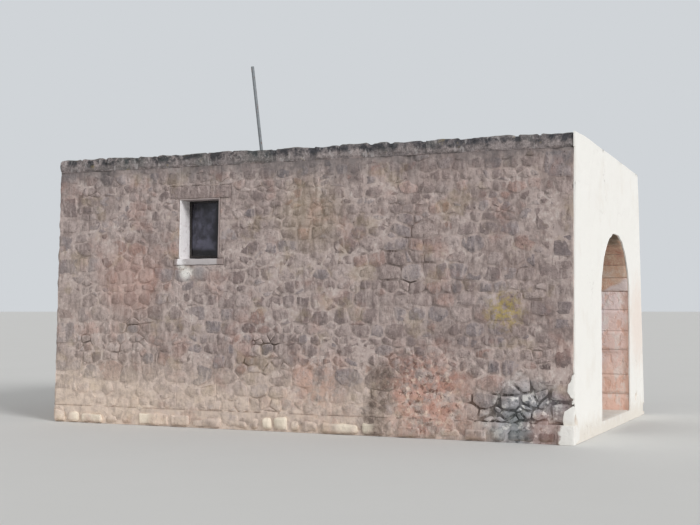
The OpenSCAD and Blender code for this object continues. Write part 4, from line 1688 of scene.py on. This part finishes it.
def lay_paving(node, name, surface, mean, wash, seed):
    """Rows of flags in place of a paving's solid, their tops on a surface, over a lowered bed."""
    low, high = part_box(node)
    finish = flag_finish(name + "s", wash)
    work = Stonework()
    rng = random.Random(seed)
    for near, far in divided(low.y, high.y, NARROWEST_FLAG, lambda: rng.uniform(*FLAG_ROWS)):
        row = divided(low.x, high.x, NARROWEST_FLAG, lambda: mean * rng.uniform(*FLAG_LENGTHS))
        for start, end in row:
            corner = Vector((start + FLAG_GAP, near + FLAG_GAP, -FLAG_THICKNESS))
            opposite = Vector((end - FLAG_GAP, far - FLAG_GAP, 0))
            block = rough_block(corner, opposite, 0.008, 0.09, 0.007, rng.uniform(0, SEEDS))
            for vert in block.verts:
                vert.co.z += surface(vert.co.y)
            work.add(block, rng.random(), rng.random())
    work.piece(name + "s", finish, "paving_stone", [node])
    bed = merged_copy(node)
    for vert in bed.verts:
        if vert.co.z > surface(vert.co.y) - 0.01:
            vert.co.z -= FLAG_BED_DROP
    make_piece(name + "_bed", bed, [earth_finish()])
    return finish


class HOUSE_OT_roof(bpy.types.Operator):
    """Lay the flags of the roof and set the pole in its block"""

    bl_idname = "house.roof"
    bl_label = "Roof"

    def execute(self, context):
        """Lays flags on the slope, and wears the stone that the leaning pole stands in."""
        stone = lay_paving("roof_paving", "roof_flag", roof_z, sizes().flag, srgb(122, 117, 108), 81)
        work = Stonework()
        work.add(worn(merged_copy("pole_socket"), 0, 0.05, 0.008, 8.0, 83), 0.4, 0.5)
        work.piece("socket_stone", stone, "paving_stone", ["pole_socket"], 30.0)
        set_finish("roof_pole", pole_finish())
        return {"FINISHED"}


class HOUSE_OT_floor(bpy.types.Operator):
    """Lay the floor flags of the room"""

    bl_idname = "house.floor_flags"
    bl_label = "Room floor"

    def execute(self, context):
        """Lays level flags over the floor's bed."""
        top = highest("floor_paving").z
        lay_paving("floor_paving", "floor_flag", lambda y: top, sizes().floor_flag,
                   srgb(150, 134, 114), 91)
        return {"FINISHED"}


FLOOR_RADIUS = 220.0
FARTHEST_SEEN = 500.0


class HOUSE_OT_stage(bpy.types.Operator):
    """Set up the floor, the soft light and the camera"""

    bl_idname = "house.stage"
    bl_label = "Stage"

    def execute(self, context):
        """Makes a plain pale floor, an even sky, a soft key light, a weak fill and the camera."""
        stage = context.scene.house_stage
        self.floor(stage)
        self.lamp("key", stage.key, 20, (0.83, -0.40, 0.54))
        self.lamp("fill", stage.fill, 40, (0.35, -0.85, 0.25))
        self.sky(stage)
        self.camera(stage)
        context.scene.view_settings.view_transform = "Standard"
        return {"FINISHED"}

    def floor(self, stage):
        """A wide level floor just under the house."""
        bm = bmesh.new()
        bmesh.ops.create_circle(bm, cap_ends=True, segments=96, radius=FLOOR_RADIUS)
        floor = placed("floor", mesh_of(bm, "floor"))
        finish = Finish("pale_floor", 0.9, stage.floor)
        finish.clouds((0.6, 0.02))
        floor.data.materials.append(finish.done())
        floor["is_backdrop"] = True

    def lamp(self, name, strength, spread, side):
        """A far lamp whose soft light comes from one side."""
        light = bpy.data.lights.new(name, "SUN")
        light.energy = strength
        light.angle = math.radians(spread)
        placed(name, light).rotation_euler = Vector(side).to_track_quat("Z", "Y").to_euler()

    def sky(self, stage):
        """An even light all round, with the backdrop's colour where it is seen."""
        world = bpy.data.worlds.new("studio")
        world.use_nodes = True
        bpy.context.scene.world = world
        nodes, links = world.node_tree.nodes, world.node_tree.links
        even = nodes["Background"]
        even.inputs["Color"].default_value = (1.0, 1.0, 1.0, 1.0)
        even.inputs["Strength"].default_value = stage.sky
        backdrop = nodes.new("ShaderNodeBackground")
        backdrop.inputs["Color"].default_value = stage.backdrop
        rays = nodes.new("ShaderNodeLightPath").outputs
        seen = rays["Is Camera Ray"]
        for ray in ("Is Glossy Ray", "Is Transmission Ray"):
            either = nodes.new("ShaderNodeMath")
            either.operation = "MAXIMUM"
            links.new(seen, either.inputs[0])
            links.new(rays[ray], either.inputs[1])
            seen = either.outputs[0]
        mix = nodes.new("ShaderNodeMixShader")
        for i, output in enumerate((seen, even.outputs[0], backdrop.outputs[0])):
            links.new(output, mix.inputs[i])
        links.new(mix.outputs[0], nodes["World Output"].inputs["Surface"])

    def camera(self, stage):
        """The photograph's own standpoint, turned to the house and closer in."""
        camera = bpy.data.cameras.new("camera")
        camera.lens = stage.lens
        camera.clip_end = FARTHEST_SEEN
        holder = placed("camera", camera)
        holder.location = stage.eye
        look = Vector(stage.aim) - Vector(stage.eye)
        holder.rotation_euler = look.to_track_quat("-Z", "Y").to_euler()
        bpy.context.scene.camera = holder


OPERATORS = (HOUSE_OT_room, HOUSE_OT_rubble, HOUSE_OT_footing, HOUSE_OT_coping, HOUSE_OT_plaster,
             HOUSE_OT_doorway, HOUSE_OT_window, HOUSE_OT_roof, HOUSE_OT_floor, HOUSE_OT_stage)


class HOUSE_PT_sidebar(bpy.types.Panel):
    """Sidebar panel with the parts, sizes and colours of the house"""

    bl_idname = "HOUSE_PT_sidebar"
    bl_label = "Field House"
    bl_space_type = "VIEW_3D"
    bl_region_type = "UI"
    bl_category = "Field House"

    def draw(self, context):
        """Lists the operators, then every size and colour."""
        for operator in OPERATORS:
            self.layout.operator(operator.bl_idname)
        groups = (context.scene.house_sizes, context.scene.house_colours, context.scene.house_stage)
        for group in groups:
            box = self.layout.box()
            for name in group.__annotations__:
                box.prop(group, name)


GROUPS = (("house_sizes", HouseSizes), ("house_colours", HouseColours), ("house_stage", HouseStage))


def register():
    """Adds the settings, the operators and the panel."""
    for name, group in GROUPS:
        bpy.utils.register_class(group)
        setattr(bpy.types.Scene, name, bpy.props.PointerProperty(type=group))
    for operator in OPERATORS:
        bpy.utils.register_class(operator)
    bpy.utils.register_class(HOUSE_PT_sidebar)


def unregister():
    """Removes them again."""
    bpy.utils.unregister_class(HOUSE_PT_sidebar)
    for operator in reversed(OPERATORS):
        bpy.utils.unregister_class(operator)
    for name, group in reversed(GROUPS):
        delattr(bpy.types.Scene, name)
        bpy.utils.unregister_class(group)


def main():
    """Builds the house and its stage."""
    register()
    bpy.ops.house.room()
    bpy.ops.house.rubble()
    bpy.ops.house.footing()
    bpy.ops.house.coping()
    bpy.ops.house.plaster()
    bpy.ops.house.doorway()
    bpy.ops.house.window()
    bpy.ops.house.roof()
    bpy.ops.house.floor_flags()
    bpy.ops.house.stage()
    boxes = [[list(corner) for corner in box] for box in (CAD_BOX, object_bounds())]


if __name__ == "__main__":
    main()
